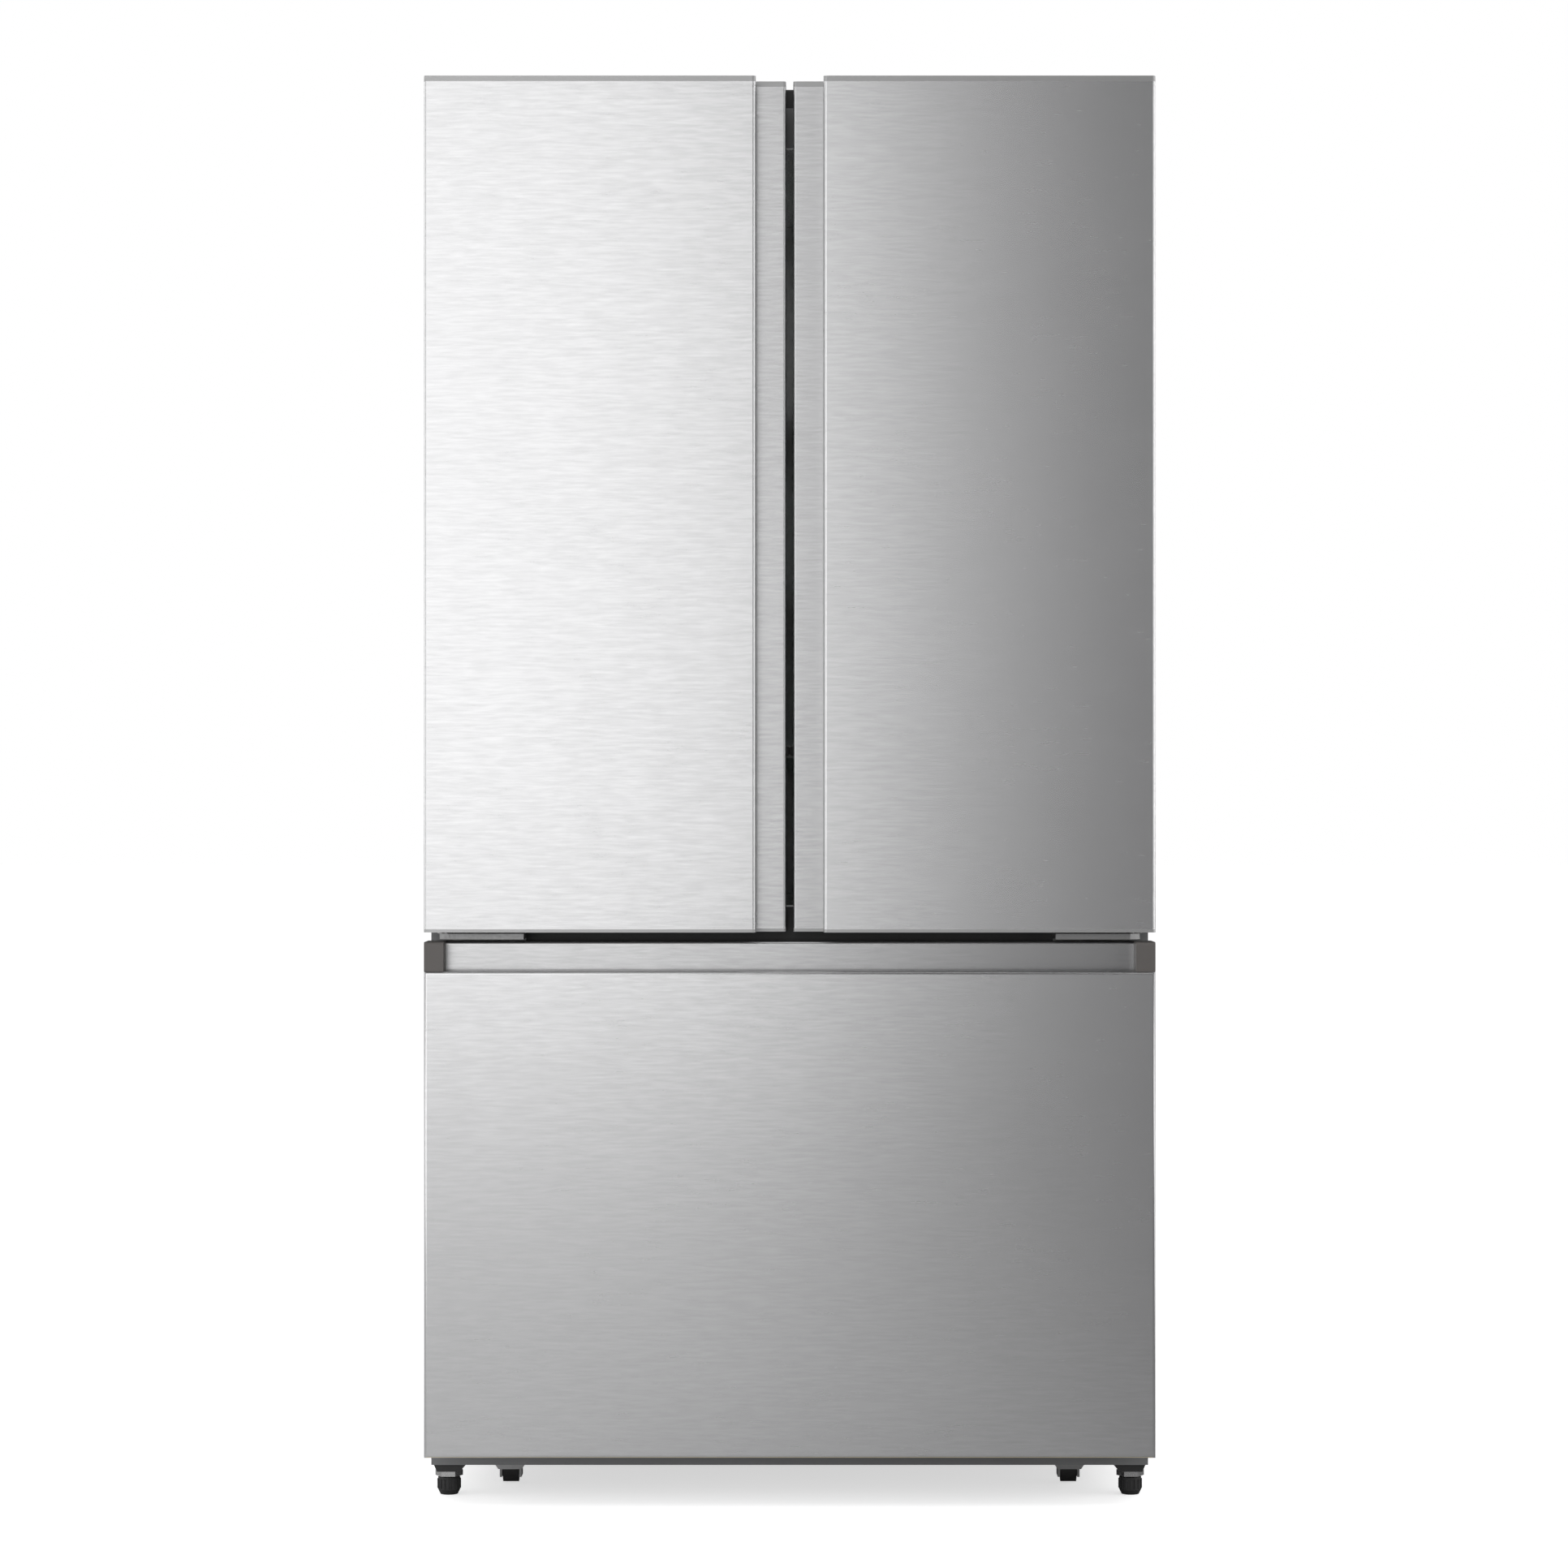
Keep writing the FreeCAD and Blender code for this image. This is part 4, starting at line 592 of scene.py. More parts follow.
class REFRIGERATOR_OT_seals(bpy.types.Operator):
    """Form the folded magnetic gaskets of the doors and the drawer"""
    bl_idname = "refrigerator.seals"
    bl_label = "Gaskets"

    def execute(self, context):
        for node, body in (("left_gasket", "left_door"), ("right_gasket", "right_door"),
                           ("freezer_gasket", "freezer_drawer")):
            low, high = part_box(node)
            wide, deep = 0.016, high.y - low.y
            section = [(0.003, 0.0), (0.0015, 0.12), (0.0, 0.26), (0.0024, 0.38), (0.0006, 0.52),
                       (0.0024, 0.62), (0.0, 0.74), (0.0, 0.94), (0.001, 1.0), (wide - 0.001, 1.0),
                       (wide, 0.94), (wide, 0.74), (wide - 0.003, 0.62), (wide - 0.001, 0.5),
                       (wide - 0.0035, 0.36), (wide - 0.001, 0.2), (wide - 0.003, 0.0)]
            mesh = bmesh.new()
            new_hoop(mesh, (low.x, low.z), (high.x, high.z),
                     [(inset, low.y + deep * share) for inset, share in section])
            piece = finish_piece(mesh, node + "_folds", "gasket_grey", body, smooth=60)
            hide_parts(node)
        return {"FINISHED"}


class REFRIGERATOR_OT_air_duct(bpy.types.Operator):
    """Mould the two rear duct covers with their louvres and light strips, and dark slabs of painted shade
    where the air slots would open
    """
    bl_idname = "refrigerator.air_duct"
    bl_label = "Rear Air Ducts"

    def execute(self, context):
        sizes = context.scene.refrigerator_sizes
        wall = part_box("fridge_liner")[1].y - 0.002
        low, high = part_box("shelf_tracks")
        cover, slot_shade, lamps = bmesh.new(), bmesh.new(), bmesh.new()
        near, far = 0.075, 0.325
        outline = [(near, low.z + 0.02), (far, low.z + 0.02), (far, high.z - 0.04),
                   (far - 0.03, high.z - 0.01), (near + 0.03, high.z - 0.01), (near, high.z - 0.04)]
        new_plate(cover, outline, "Y", wall - 0.013, wall, edge=0.004)
        # The air slots are not cut through. Under each louvre lies a dark slab, painted shade that stands for
        # the dark inside of an open slot.
        for lowest in (1.02, 1.25, 1.50):
            for place in spaced(lowest, lowest + 0.064, 5):
                new_slab(slot_shade, (0.13, wall - 0.0138, place), (0.27, wall - 0.0125, place + 0.007), 0.0006)
                new_slab(cover, (0.126, wall - 0.0150, place + 0.0068),
                         (0.274, wall - 0.0118, place + 0.0092), sizes.soft_edge * 0.6)
        new_row(lamps, (near + 0.024, far - 0.024), 0.006, (wall - 0.0148, low.z + 0.06),
                (wall - 0.0125, high.z - 0.08), sizes.soft_edge)
        for mesh, name, slot in ((cover, "duct_covers", "shelf_white"), (slot_shade, "duct_slot_shade", "dark_plastic"),
                                 (lamps, "duct_lamps", "lamp_lens")):
            mirror_across(mesh)
            finish_piece(mesh, name, slot)
        return {"FINISHED"}


class REFRIGERATOR_OT_lining(bpy.types.Operator):
    """Mould the ceiling lamp, the crisper ledges and the wall ribs of the liners"""
    bl_idname = "refrigerator.lining"
    bl_label = "Liner Mouldings"

    def execute(self, context):
        sizes = context.scene.refrigerator_sizes
        low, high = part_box("fridge_liner")
        roof, wall = high.z - 0.002, high.x - 0.002
        lamp, surround = bmesh.new(), bmesh.new()
        new_slab(lamp, (0.09, -0.06, roof - 0.009), (0.25, 0.06, roof), 0.004, 3)
        new_hoop(surround, (0.075, -0.075), (0.265, 0.075),
                 [(0.0, 0.0), (0.003, -0.006), (0.008, -0.007), (0.015, -0.004), (0.015, 0.0)], start=roof,
                 axis="Z", corner=0.010)
        mirror_across(lamp)
        mirror_across(surround)
        finish_piece(lamp, "ceiling_lamps", "lamp_lens")
        finish_piece(surround, "ceiling_lamp_surrounds", "shelf_white")
        ribs = bmesh.new()
        new_slab(ribs, (wall - 0.010, -0.215, 0.9275), (wall, 0.300, 0.9345), sizes.soft_edge)
        for place in (1.03, 1.245, 1.46):
            new_slab(ribs, (wall - sizes.rib_height, -0.30, place), (wall, 0.30, place + 0.010),
                     sizes.soft_edge)
        new_slab(ribs, (wall - sizes.rib_height, -0.318, low.z + 0.03), (wall, -0.308, roof - 0.02),
                 sizes.soft_edge)
        mirror_across(ribs)
        finish_piece(ribs, "fridge_wall_ribs", "liner_white")
        low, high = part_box("freezer_liner")
        ribs = bmesh.new()
        wall = high.x - 0.002
        for place in spaced(-0.24, 0.24, 5):
            new_slab(ribs, (wall - sizes.rib_height, place, 0.43), (wall, place + 0.012, 0.62),
                     sizes.soft_edge)
            if place < 0.13:
                new_slab(ribs, (wall - sizes.rib_height, place, 0.14), (wall, place + 0.012, 0.28),
                         sizes.soft_edge)
        mirror_across(ribs)
        new_row(ribs, spaced(-0.27, 0.27, 7), 0.006, (-0.30, low.z + 0.002), (0.12, low.z + 0.0045),
                sizes.soft_edge * 0.8)
        finish_piece(ribs, "freezer_wall_ribs", "liner_white")
        return {"FINISHED"}


class REFRIGERATOR_OT_shelving(bpy.types.Operator):
    """Form the shelf arms, the shelves' front trims and the crisper fronts"""
    bl_idname = "refrigerator.shelving"
    bl_label = "Shelf Arms And Crispers"

    def execute(self, context):
        arms, trims = bmesh.new(), bmesh.new()
        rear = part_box("shelf_tracks")[0].y
        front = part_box("shelf_frames")[0].y
        for low in SHELF_LEVELS:
            outline = [(rear + 0.010, low - 0.034), (rear + 0.010, low - 0.0005), (-0.13, low - 0.0005),
                       (-0.135, low - 0.010), (rear - 0.05, low - 0.036)]
            for middle in (0.020, 0.380):
                new_plate(arms, outline, "X", middle - 0.0015, middle + 0.0015, edge=0.0005)
            new_slab(trims, (0.010, front - 0.0035, low + 0.002), (0.392, front + 0.004, low + 0.0145),
                     0.0028, 3)
            new_slab(trims, (0.012, rear - 0.010, low + 0.0155), (0.390, rear - 0.004, low + 0.026), 0.002, 2)
        new_slab(trims, (0.0, front - 0.0035, CRISPER_COVER), (0.392, front + 0.004, CRISPER_COVER + 0.0125),
                 0.0028, 3)
        mirror_across(arms)
        mirror_across(trims)
        finish_piece(arms, "shelf_arms", "galvanised")
        finish_piece(trims, "shelf_trims", "accent_grey")
        for side, _ in SIDES:
            low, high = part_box("crisper_" + side)
            body = "crisper_drawer_" + side
            front = bmesh.new()
            new_hoop(front, (low.x + 0.0005, low.y - 0.0005), (high.x - 0.0005, high.y + 0.0005),
                     [(0.0, -0.007), (-0.0015, -0.005), (-0.0015, 0.001), (0.0, 0.002), (0.0035, 0.002),
                      (0.0042, 0.0005), (0.0036, -0.007)], start=high.z, axis="Z", corner=0.017)
            middle = (low.x + high.x) / 2
            lip = ((0.0005, 0.0055), (-0.0110, 0.0040), (-0.0155, 0.0065), (-0.0170, 0.0120),
                   (-0.0158, 0.0160), (-0.0140, 0.0155), (-0.0146, 0.0115), (-0.0132, 0.0085),
                   (-0.0105, 0.0068), (0.0005, 0.0085))
            new_plate(front, [(low.y + along, high.z - drop) for along, drop in lip], "X",
                      middle - 0.14, middle + 0.14, edge=0.0006)
            finish_piece(front, "crisper_rim_" + side, "shelf_white", body, smooth=40)
            strip = bmesh.new()
            new_slab(strip, (low.x + 0.03, low.y - 0.0012, low.z + 0.070),
                     (high.x - 0.03, low.y + 0.0008, low.z + 0.076), 0.0005)
            new_row(strip, spaced(low.x + 0.05, high.x - 0.05, 9), 0.0015, (low.y + 0.03, low.z - 0.0004),
                    (high.y - 0.03, low.z + 0.0012), 0.0004)
            finish_piece(strip, "crisper_lines_" + side, "accent_grey", body)
        return {"FINISHED"}


class REFRIGERATOR_OT_door_trim(bpy.types.Operator):
    """Form the bin rims, the bin guards and the mouldings of the door liners"""
    bl_idname = "refrigerator.door_trim"
    bl_label = "Door Bins And Liners"

    def execute(self, context):
        sizes = context.scene.refrigerator_sizes
        for side, sign in SIDES:
            low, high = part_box(side + "_bins")
            liner_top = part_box(side + "_liner")[1].z
            panel = -0.360
            rims, pads, ribs = bmesh.new(), bmesh.new(), bmesh.new()
            for base in (low.z, low.z + BIN_STEP, low.z + 2 * BIN_STEP):
                top = base + 0.105
                new_hoop(rims, (low.x, low.y + 0.0006), (high.x, high.y),
                         [(0.0004, -0.016), (-0.0022, -0.0135), (-0.0026, -0.002), (-0.0012, 0.0008),
                          (0.0022, 0.001), (0.0038, -0.001), (0.0034, -0.016)], start=top, axis="Z",
                         corner=0.013)
                new_slab(pads, (low.x + 0.035, high.y - 0.0016, top - 0.058),
                         (high.x - 0.035, high.y + 0.0018, top - 0.050), 0.001)
                new_row(pads, spaced(low.x + 0.03, high.x - 0.03, 8), 0.0015, (low.y + 0.02, top - 0.1024),
                        (high.y - 0.02, top - 0.1010), 0.0004)
                near, far = sorted((sign * 0.366, sign * 0.092))
                new_row(ribs, (near - 0.0003, far + 0.0003), 0.0017, (panel + 0.004, base - 0.012),
                        (panel + 0.030, base - 0.0006), sizes.soft_edge * 0.6)
                if base + 0.268 < liner_top - 0.11:
                    new_hoop(ribs, (near + 0.03, base + 0.118), (far - 0.03, base + 0.268),
                             [(0.0, -0.0002), (0.001, 0.0018), (0.004, 0.0024), (0.007, 0.0018),
                              (0.008, -0.0002)], start=panel, corner=0.015)
            finish_piece(rims, side + "_bin_rims", "shelf_white", side + "_door", smooth=40)
            finish_piece(pads, side + "_bin_guards", "accent_grey", side + "_door")
            finish_piece(ribs, side + "_liner_ribs", "liner_white", side + "_door")
        return {"FINISHED"}


class REFRIGERATOR_OT_freezer_trim(bpy.types.Operator):
    """Form the rims, handles and floor ribs of the freezer basket and tray"""
    bl_idname = "refrigerator.freezer_trim"
    bl_label = "Freezer Basket And Tray"

    def execute(self, context):
        for node, body, lines_from in (("freezer_basket", "freezer_drawer", 0.05),
                                       ("freezer_tray", "upper_tray", 0.03)):
            low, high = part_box(node)
            rim, lines = bmesh.new(), bmesh.new()
            new_hoop(rim, (low.x, low.y), (high.x, high.y),
                     [(0.0004, -0.012), (-0.0016, -0.010), (-0.002, -0.002), (-0.0006, 0.001),
                      (0.0025, 0.0012), (0.0042, -0.0008), (0.0036, -0.012)], start=high.z, axis="Z",
                     corner=0.017)
            for middle in (-0.2, 0.2):
                new_hoop(rim, (middle - 0.07, high.z - 0.062), (middle + 0.07, high.z - 0.030),
                         [(0.0, 0.001), (0.0008, -0.0018), (0.0035, -0.0022), (0.006, -0.0012),
                          (0.006, 0.001)], start=low.y, corner=0.012)
            places = spaced(low.x + 0.05, high.x - 0.05, 16)
            new_row(lines, places, 0.0018, (low.y + 0.03, low.z + 0.0026), (high.y - 0.03, low.z + 0.0050),
                    0.0008)
            new_row(lines, places, 0.0018, (low.y - 0.0010, low.z + lines_from),
                    (low.y + 0.0010, high.z - 0.080), 0.0006)
            finish_piece(rim, node + "_rim", "shelf_white", body, smooth=40)
            finish_piece(lines, node + "_ribs", "accent_grey", body)
        return {"FINISHED"}


class REFRIGERATOR_OT_hinge_trim(bpy.types.Operator):
    """Turn the hinge bolts and washers and the screws of the top cover"""
    bl_idname = "refrigerator.hinge_trim"
    bl_label = "Hinge Bolts And Top Cover"

    def execute(self, context):
        bolts = bmesh.new()
        new_turning(bolts, [(0.0, 0.0055), (0.0052, 0.0055), (0.0065, 0.0042), (0.0065, 0.0012),
                            (0.0085, 0.0012), (0.0085, 0.0)], (*HINGE_PIN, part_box("top_hinges")[1].z), UP, 6)
        new_turning(bolts, [(0.0062, 0.0002), (0.0095, 0.0002), (0.0098, 0.0012), (0.0095, 0.0021),
                            (0.0062, 0.0021)], (*HINGE_PIN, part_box("center_hinges")[1].z - 0.0125), UP, 28)
        mirror_across(bolts)
        finish_piece(bolts, "hinge_bolts", "bright_steel")
        low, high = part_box("hinge_cover")
        studs, ridges = bmesh.new(), bmesh.new()
        for across in (-0.40, -0.13, 0.13, 0.40):
            new_stud(studs, (across, (low.y + high.y) / 2, high.z - 0.0004), UP, 0.0052, 0.0018)
        finish_piece(studs, "top_cover_screws", "bright_steel")
        for across in (-0.27, 0.27):
            new_hoop(ridges, (across - 0.11, low.y + 0.014), (across + 0.11, high.y - 0.014),
                     [(0.0, -0.0006), (0.0012, 0.0009), (0.004, 0.0009), (0.0052, -0.0006)], start=high.z,
                     axis="Z", corner=0.006)
        new_row(ridges, (-0.366, 0.366), 0.0012, (low.y - 0.0003, low.z + 0.0005),
                (high.y + 0.0003, high.z + 0.0006), 0.0004)
        finish_piece(ridges, "top_cover_ridges", "dark_plastic")
        return {"FINISHED"}


class REFRIGERATOR_OT_mullion(bpy.types.Operator):
    """Give the folding bar its steel sealing face, its end caps and its guide peg"""
    bl_idname = "refrigerator.mullion"
    bl_label = "Mullion Face And Caps"

    def execute(self, context):
        low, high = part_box("mullion_bar")
        cap_tall, proud = 0.022, 0.0003
        face, caps = bmesh.new(), bmesh.new()
        new_slab(face, (high.x - 0.0004, low.y + 0.0120, low.z + cap_tall + 0.002),
                 (high.x + 0.0004, high.y - 0.0030, high.z - cap_tall - 0.002), 0.0002, 1)
        for place in (0.018, 0.034, 0.050):
            new_slab(face, (low.x - 0.0004, low.y + place, low.z + 0.05),
                     (low.x + 0.0004, low.y + place + 0.004, high.z - 0.05), 0.0002, 1)
        for base, top in ((low.z - 0.0002, low.z + cap_tall), (high.z - cap_tall, high.z + 0.0002)):
            new_hoop(caps, (low.x, low.y + 0.0215), (high.x, high.y),
                     [(0.0012, base), (-proud, base + 0.0010), (-proud, top - 0.0010), (0.0012, top)],
                     axis="Z", corner=0.0012)
        new_turning(caps, [(0.0, 0.0060), (0.0028, 0.0060), (0.0038, 0.0048), (0.0038, 0.0008),
                           (0.0052, -0.0002)], ((low.x + high.x) / 2, high.y - 0.020, high.z), UP, 24)
        finish_piece(face, "mullion_face", "band_silver", "mullion")
        finish_piece(caps, "mullion_caps", "accent_grey", "mullion")
        return {"FINISHED"}


class REFRIGERATOR_OT_footing(bpy.types.Operator):
    """Rib the levelling feet and give the rollers their hubs and spokes"""
    bl_idname = "refrigerator.footing"
    bl_label = "Feet And Rollers"

    def execute(self, context):
        for side, _ in SIDES:
            low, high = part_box("foot_" + side)
            x, y = (low.x + high.x) / 2, (low.y + high.y) / 2
            mesh = bmesh.new()
            new_slab(mesh, (x + 0.0128, y - 0.0013, low.z + 0.0072), (x + 0.0150, y + 0.0013, low.z + 0.0195),
                     0.0005)
            repeat_round(mesh, (x, y, 0), UP, 16)
            finish_piece(mesh, "foot_grip_" + side, "dark_plastic", side + "_foot")
            for row in ("front", "rear"):
                node = f"roller_{row}_{side}"
                low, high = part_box(node)
                (x, y, z), half = (low + high) / 2, (high.x - low.x) / 2
                mesh = bmesh.new()
                for way in (-1, 1):
                    near, far = sorted((x + way * (half - 0.0004), x + way * (half + 0.0005)))
                    new_slab(mesh, (near, y - 0.0009, z + 0.0046), (far, y + 0.0009, z + 0.0108), 0.0002, 1)
                repeat_round(mesh, (x, y, z), (1, 0, 0), 6)
                for way in (-1, 1):
                    new_turning(mesh, [(0.0105, half - 0.0006), (0.0108, half + 0.0006),
                                       (0.0130, half + 0.0006), (0.0134, half - 0.0006)], (x, y, z),
                                (way, 0, 0), 28)
                finish_piece(mesh, node + "_hub", "roller_black", f"{row}_{side}_roller")
        return {"FINISHED"}


class REFRIGERATOR_OT_back_trim(bpy.types.Operator):
    """Press the stiffening ribs, plugs and borders of the rear panels"""
    bl_idname = "refrigerator.back_trim"
    bl_label = "Rear Panels"

    def execute(self, context):
        face = 0.400
        low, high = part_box("back_panel")
        ribs = bmesh.new()
        new_slab(ribs, (0.4310, face - 0.0004, low.z + 0.003), (0.4500, face + 0.0004, high.z - 0.003),
                 0.0003, 1)
        new_slab(ribs, (0.4310, face - 0.0012, 0.0470), (0.4515, face + 0.0003, low.z + 0.002), 0.0002, 1)
        new_slab(ribs, (0.4010, face - 0.0012, 0.0462), (0.4515, face + 0.0003, 0.0535), 0.0002, 1)
        mirror_across(ribs)
        for across in (-0.22, -0.11, 0.0, 0.11, 0.22):
            new_hoop(ribs, (across - 0.011, low.z + 0.12), (across + 0.011, high.z - 0.10),
                     [(0.0, -0.0004), (0.0018, 0.0018), (0.005, 0.0026), (0.0108, 0.0026),
                      (0.0109, -0.0004)], start=face)
        for place in (low.z + 0.045, high.z - 0.06):
            new_slab(ribs, (-0.40, face - 0.0004, place), (0.40, face + 0.0022, place + 0.016), 0.0016, 2)
        finish_piece(ribs, "rear_panel_ribs", "galvanised")
        plugs = bmesh.new()
        for place in ((-0.30, face, 1.25), (0.30, face, 1.25), (0.0, face, 0.356)):
            new_turning(plugs, [(0.0, 0.0010), (0.012, 0.0010), (0.0135, 0.0024), (0.0185, 0.0024),
                                (0.0200, 0.0012), (0.0200, -0.0003)], place, (0, 1, 0))
        finish_piece(plugs, "foam_plugs", "dark_plastic")
        low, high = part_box("machine_cover")
        rim, studs = bmesh.new(), bmesh.new()
        new_hoop(rim, (low.x + 0.004, low.z + 0.004), (high.x - 0.004, high.z - 0.004),
                 [(0.0, -0.0004), (0.001, 0.0012), (0.006, 0.0016), (0.009, 0.001), (0.010, -0.0004)],
                 start=high.y, corner=0.008)
        new_row(rim, spaced(-0.368, 0.368, 47), 0.0016, (high.y - 0.0004, 0.088), (high.y + 0.0014, 0.152),
                0.0007, 1)
        finish_piece(rim, "machine_cover_pressings", "galvanised")
        for across in (-0.425, -0.21, 0.21, 0.425):
            for place in (low.z + 0.018, high.z - 0.018):
                new_stud(studs, (across, high.y, place), (0, 1, 0), 0.0045, 0.0022)
        finish_piece(studs, "machine_cover_screws", "bright_steel")
        return {"FINISHED"}


class REFRIGERATOR_OT_machine_bay(bpy.types.Operator):
    """Run the pipes of the machine bay and give the compressor its seam, relay box and grommets"""
    bl_idname = "refrigerator.machine_bay"
    bl_label = "Machine Bay"

    def execute(self, context):
        seam, relay, pipes = bmesh.new(), bmesh.new(), bmesh.new()
        x, y = -0.190, 0.300
        new_turning(seam, [(0.0778, -0.004), (0.0795, -0.0028), (0.0802, 0.0), (0.0795, 0.0028),
                           (0.0778, 0.004)], (x, y, 0.144), UP, 48)
        for across in (-0.075, 0.075):
            for along in (-0.060, 0.060):
                new_turning(seam, [(0.0102, 0.0), (0.0130, 0.001), (0.0138, 0.005), (0.0118, 0.0075),
                                   (0.0138, 0.0105), (0.0125, 0.0155), (0.0102, 0.0158)],
                            (x + across, y + along, 0.0462), UP, 24)
        finish_piece(seam, "compressor_seam", "compressor_black", smooth=50)
        new_slab(relay, (x - 0.034, y + 0.070, 0.118), (x + 0.034, y + 0.096, 0.176), 0.004, 3)
        new_slab(relay, (x - 0.026, y + 0.0955, 0.140), (x + 0.026, y + 0.0985, 0.150), 0.001)
        finish_piece(relay, "relay_box", "dark_plastic")
        new_pipe(pipes, [(-0.099, 0.300, 0.174), (-0.070, 0.300, 0.174), (-0.045, 0.300, 0.200),
                         (0.010, 0.270, 0.225), (0.080, 0.240, 0.225), (0.110, 0.265, 0.200),
                         (0.118, 0.265, 0.160), (0.128, 0.265, 0.160)], 0.003)
        new_pipe(pipes, [(-0.099, 0.300, 0.114), (-0.060, 0.300, 0.114), (-0.030, 0.320, 0.100),
                         (-0.020, 0.360, 0.120), (-0.020, 0.375, 0.200), (-0.020, 0.375, 0.262)], 0.004)
        new_turning(pipes, [(0.0, -0.045), (0.003, -0.045), (0.0035, -0.036), (0.0085, -0.028),
                            (0.0085, 0.028), (0.0035, 0.036), (0.003, 0.045), (0.0, 0.045)],
                    (0.035, 0.345, 0.110), UP, 24)
        new_pipe(pipes, [(0.035, 0.345, 0.154), (0.035, 0.345, 0.200), (0.060, 0.350, 0.225),
                         (0.110, 0.345, 0.215), (0.118, 0.335, 0.165), (0.128, 0.335, 0.160)], 0.002)
        finish_piece(pipes, "copper_pipes", "copper", smooth=60)
        bends = bmesh.new()
        for low, high in (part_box("condenser"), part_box("evaporator")):
            for end, way in ((low.x + 0.004, -1), (high.x - 0.004, 1)):
                near, far = low.y * 0.75 + high.y * 0.25, low.y * 0.25 + high.y * 0.75
                reach = end + way * (0.010 if far - near < 0.06 and high.z - low.z < 0.11 else 0.014)
                for share in (0.25, 0.75):
                    place = low.z + (high.z - low.z) * share
                    if reach < 0.388:
                        new_pipe(bends, [(end, near, place), (reach, near, place), (reach, far, place),
                                         (end, far, place)], 0.0046)
        finish_piece(bends, "coil_bends", "coil_aluminium", smooth=60)
        return {"FINISHED"}


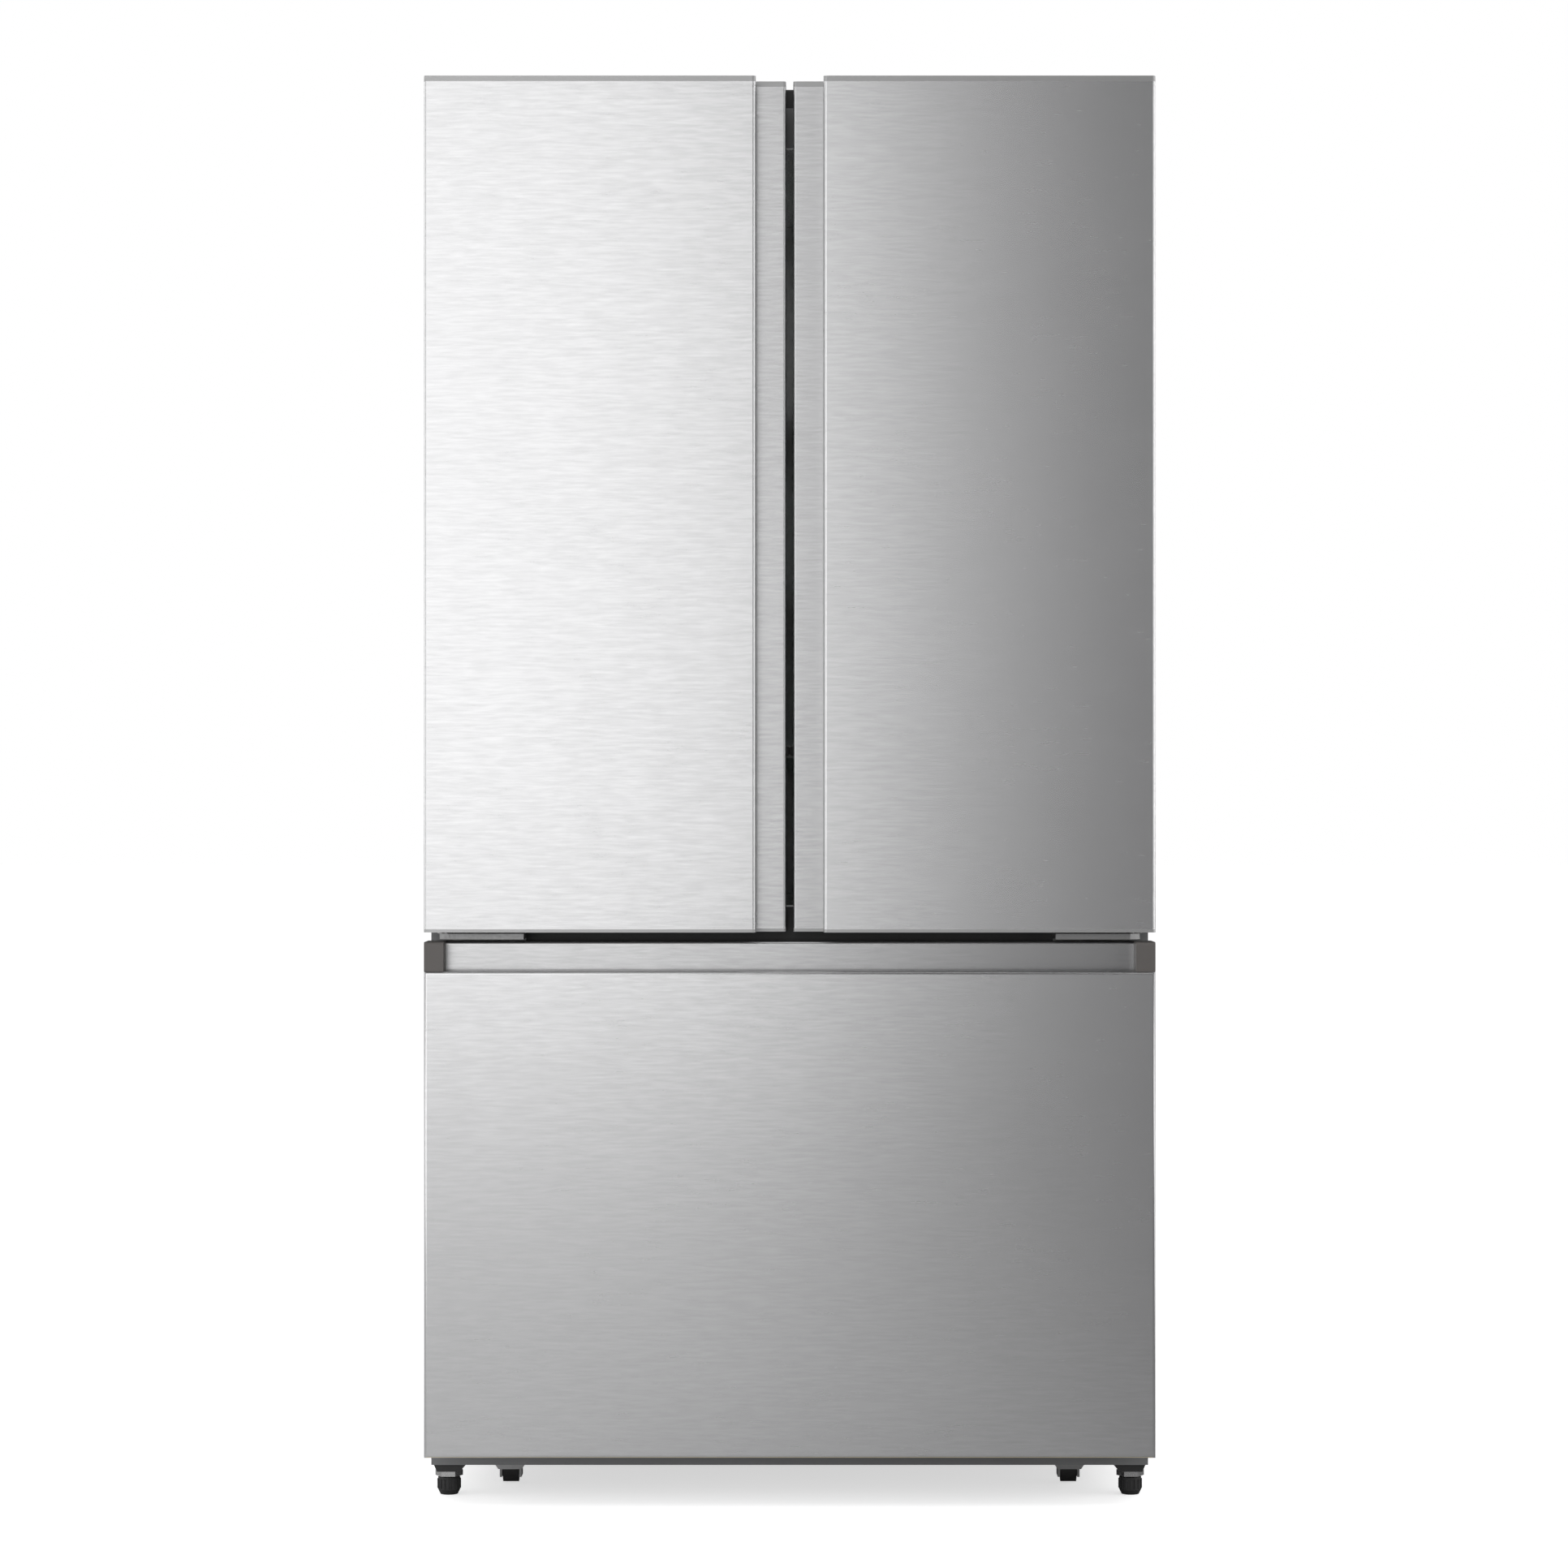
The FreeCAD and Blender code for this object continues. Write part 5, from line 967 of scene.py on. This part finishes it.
class REFRIGERATOR_OT_studio(bpy.types.Operator):
    """Lay the pale floor and set the soft lights and the level camera"""
    bl_idname = "refrigerator.studio"
    bl_label = "Studio"

    def area(self, name, place, target, size, power):
        data = bpy.data.lights.new(name, "AREA")
        data.shape = "RECTANGLE"
        data.size, data.size_y = size
        data.energy = power
        lamp = bpy.data.objects.new(name, data)
        lamp.location = place
        lamp.rotation_euler = (Vector(target) - Vector(place)).to_track_quat("-Z", "Y").to_euler()
        bpy.context.scene.collection.objects.link(lamp)

    def execute(self, context):
        scene = context.scene
        studio = scene.refrigerator_studio
        mesh = bmesh.new()
        bmesh.ops.create_grid(mesh, x_segments=8, y_segments=8, size=60.0)
        data = bpy.data.meshes.new("floor")
        mesh.to_mesh(data)
        mesh.free()
        floor = bpy.data.objects.new("floor", data)
        scene.collection.objects.link(floor)
        material, tree, shader = start_material("floor")
        grain = use_group(tree, grain_group(), coordinates(tree), Scale=60.0, Cloud_Scale=0.6)
        # The camera sees an evenly pale floor. Every other ray sees a darker floor with painted light across
        # it, bright at the left and dark at the right, as light from the left would fall. Reflections and
        # bounced light carry this painted shading.
        seen = add(tree, "ShaderNodeLightPath")["Is Camera Ray"]
        across = add(tree, "ShaderNodeSeparateXYZ", {0: coordinates(tree)})["X"]
        painted_floor_light = add(tree, "ShaderNodeMapRange", {"Value": across, "From Min": -0.5, "From Max": 1.15},
                      interpolation_type="SMOOTHSTEP")[0]
        shade = mix_colours(tree, seen, mix_colours(tree, painted_floor_light, 0.60, 0.13),
                            mix_colours(tree, grain["Cloud"], 0.90, 0.86))
        fill(tree, shader, {"Base Color": shade, "Emission Color": mix_colours(tree, seen, 0.0, 1.0),
                            "Emission Strength": 0.62, "Roughness": 0.9})
        data.materials.append(material)

        world = bpy.data.worlds.new("studio")
        world.use_nodes = True
        scene.world = world
        tree = world.node_tree
        path = add(tree, "ShaderNodeLightPath")
        shade = mix_colours(tree, path["Is Glossy Ray"], (0.55, 0.55, 0.555), (0.085, 0.085, 0.087))
        shade = mix_colours(tree, path["Is Camera Ray"], shade, 1.0)
        fill(tree, tree.nodes["Background"], {"Color": shade})
        scene.view_settings.view_transform = "Standard"

        for name, place, target, size, share in (
                ("front_softbox", (-2.60, -6.6, 2.02), (-1.8, 0, 1.5), (5.7, 3.8), 1.43),
                ("right_softbox", (4.6, -6.0, 1.9), (1.4, 0, 1.4), (3.0, 3.8), 0.7),
                ("top_softbox", (0, -1.0, 4.4), (0, -0.2, 0), (4.0, 4.0), 0.6),
                ("left_fill", (-4.5, -1.0, 1.6), (0, 0.2, 0.9), (3.6, 3.0), 0.7),
                ("right_fill", (4.5, -0.8, 1.6), (0, 0.4, 0.9), (3.6, 3.0), 0.8),
                ("rear_fill_left", (-3.7, 5.2, 2.2), (0, 0.4, 0.9), (3.0, 3.0), 0.9),
                ("rear_fill_right", (3.7, 5.2, 2.2), (0, 0.4, 0.9), (3.0, 3.0), 0.9)):
            self.area(name, place, target, size, studio.soft_light * share)

        lens = bpy.data.cameras.new("camera")
        lens.lens = studio.lens
        lens.sensor_width = 36.0
        lens.shift_x, lens.shift_y = LENS_SHIFT
        camera = bpy.data.objects.new("camera", lens)
        camera.location = (0, CAD_BOX[0][1] - studio.distance, studio.eye)
        camera.rotation_euler = (math.radians(90), 0, 0)
        scene.collection.objects.link(camera)
        scene.camera = camera
        return {"FINISHED"}


OPERATORS = (REFRIGERATOR_OT_finishes, REFRIGERATOR_OT_skins, REFRIGERATOR_OT_seals,
             REFRIGERATOR_OT_air_duct, REFRIGERATOR_OT_lining, REFRIGERATOR_OT_shelving,
             REFRIGERATOR_OT_door_trim, REFRIGERATOR_OT_freezer_trim, REFRIGERATOR_OT_hinge_trim,
             REFRIGERATOR_OT_mullion, REFRIGERATOR_OT_footing, REFRIGERATOR_OT_back_trim,
             REFRIGERATOR_OT_machine_bay, REFRIGERATOR_OT_studio)


class REFRIGERATOR_PT_panel(bpy.types.Panel):
    """Sizes, colours and the operators that build the pieces"""
    bl_idname = "REFRIGERATOR_PT_panel"
    bl_label = "Refrigerator"
    bl_space_type = "VIEW_3D"
    bl_region_type = "UI"
    bl_category = "Refrigerator"

    def draw(self, context):
        for settings in (context.scene.refrigerator_sizes, context.scene.refrigerator_colours,
                         context.scene.refrigerator_studio):
            for name in settings.__annotations__:
                self.layout.prop(settings, name)
        for operator in OPERATORS:
            self.layout.operator(operator.bl_idname)


CLASSES = (RefrigeratorSizes, RefrigeratorColours, StudioSettings, *OPERATORS, REFRIGERATOR_PT_panel)


def register():
    for item in CLASSES:
        bpy.utils.register_class(item)
    bpy.types.Scene.refrigerator_sizes = bpy.props.PointerProperty(type=RefrigeratorSizes)
    bpy.types.Scene.refrigerator_colours = bpy.props.PointerProperty(type=RefrigeratorColours)
    bpy.types.Scene.refrigerator_studio = bpy.props.PointerProperty(type=StudioSettings)


def unregister():
    del bpy.types.Scene.refrigerator_studio
    del bpy.types.Scene.refrigerator_colours
    del bpy.types.Scene.refrigerator_sizes
    for item in reversed(CLASSES):
        bpy.utils.unregister_class(item)


def main():
    register()
    for operator in OPERATORS:
        category, name = operator.bl_idname.split(".")
        getattr(getattr(bpy.ops, category), name)()


if __name__ == "__main__":
    main()
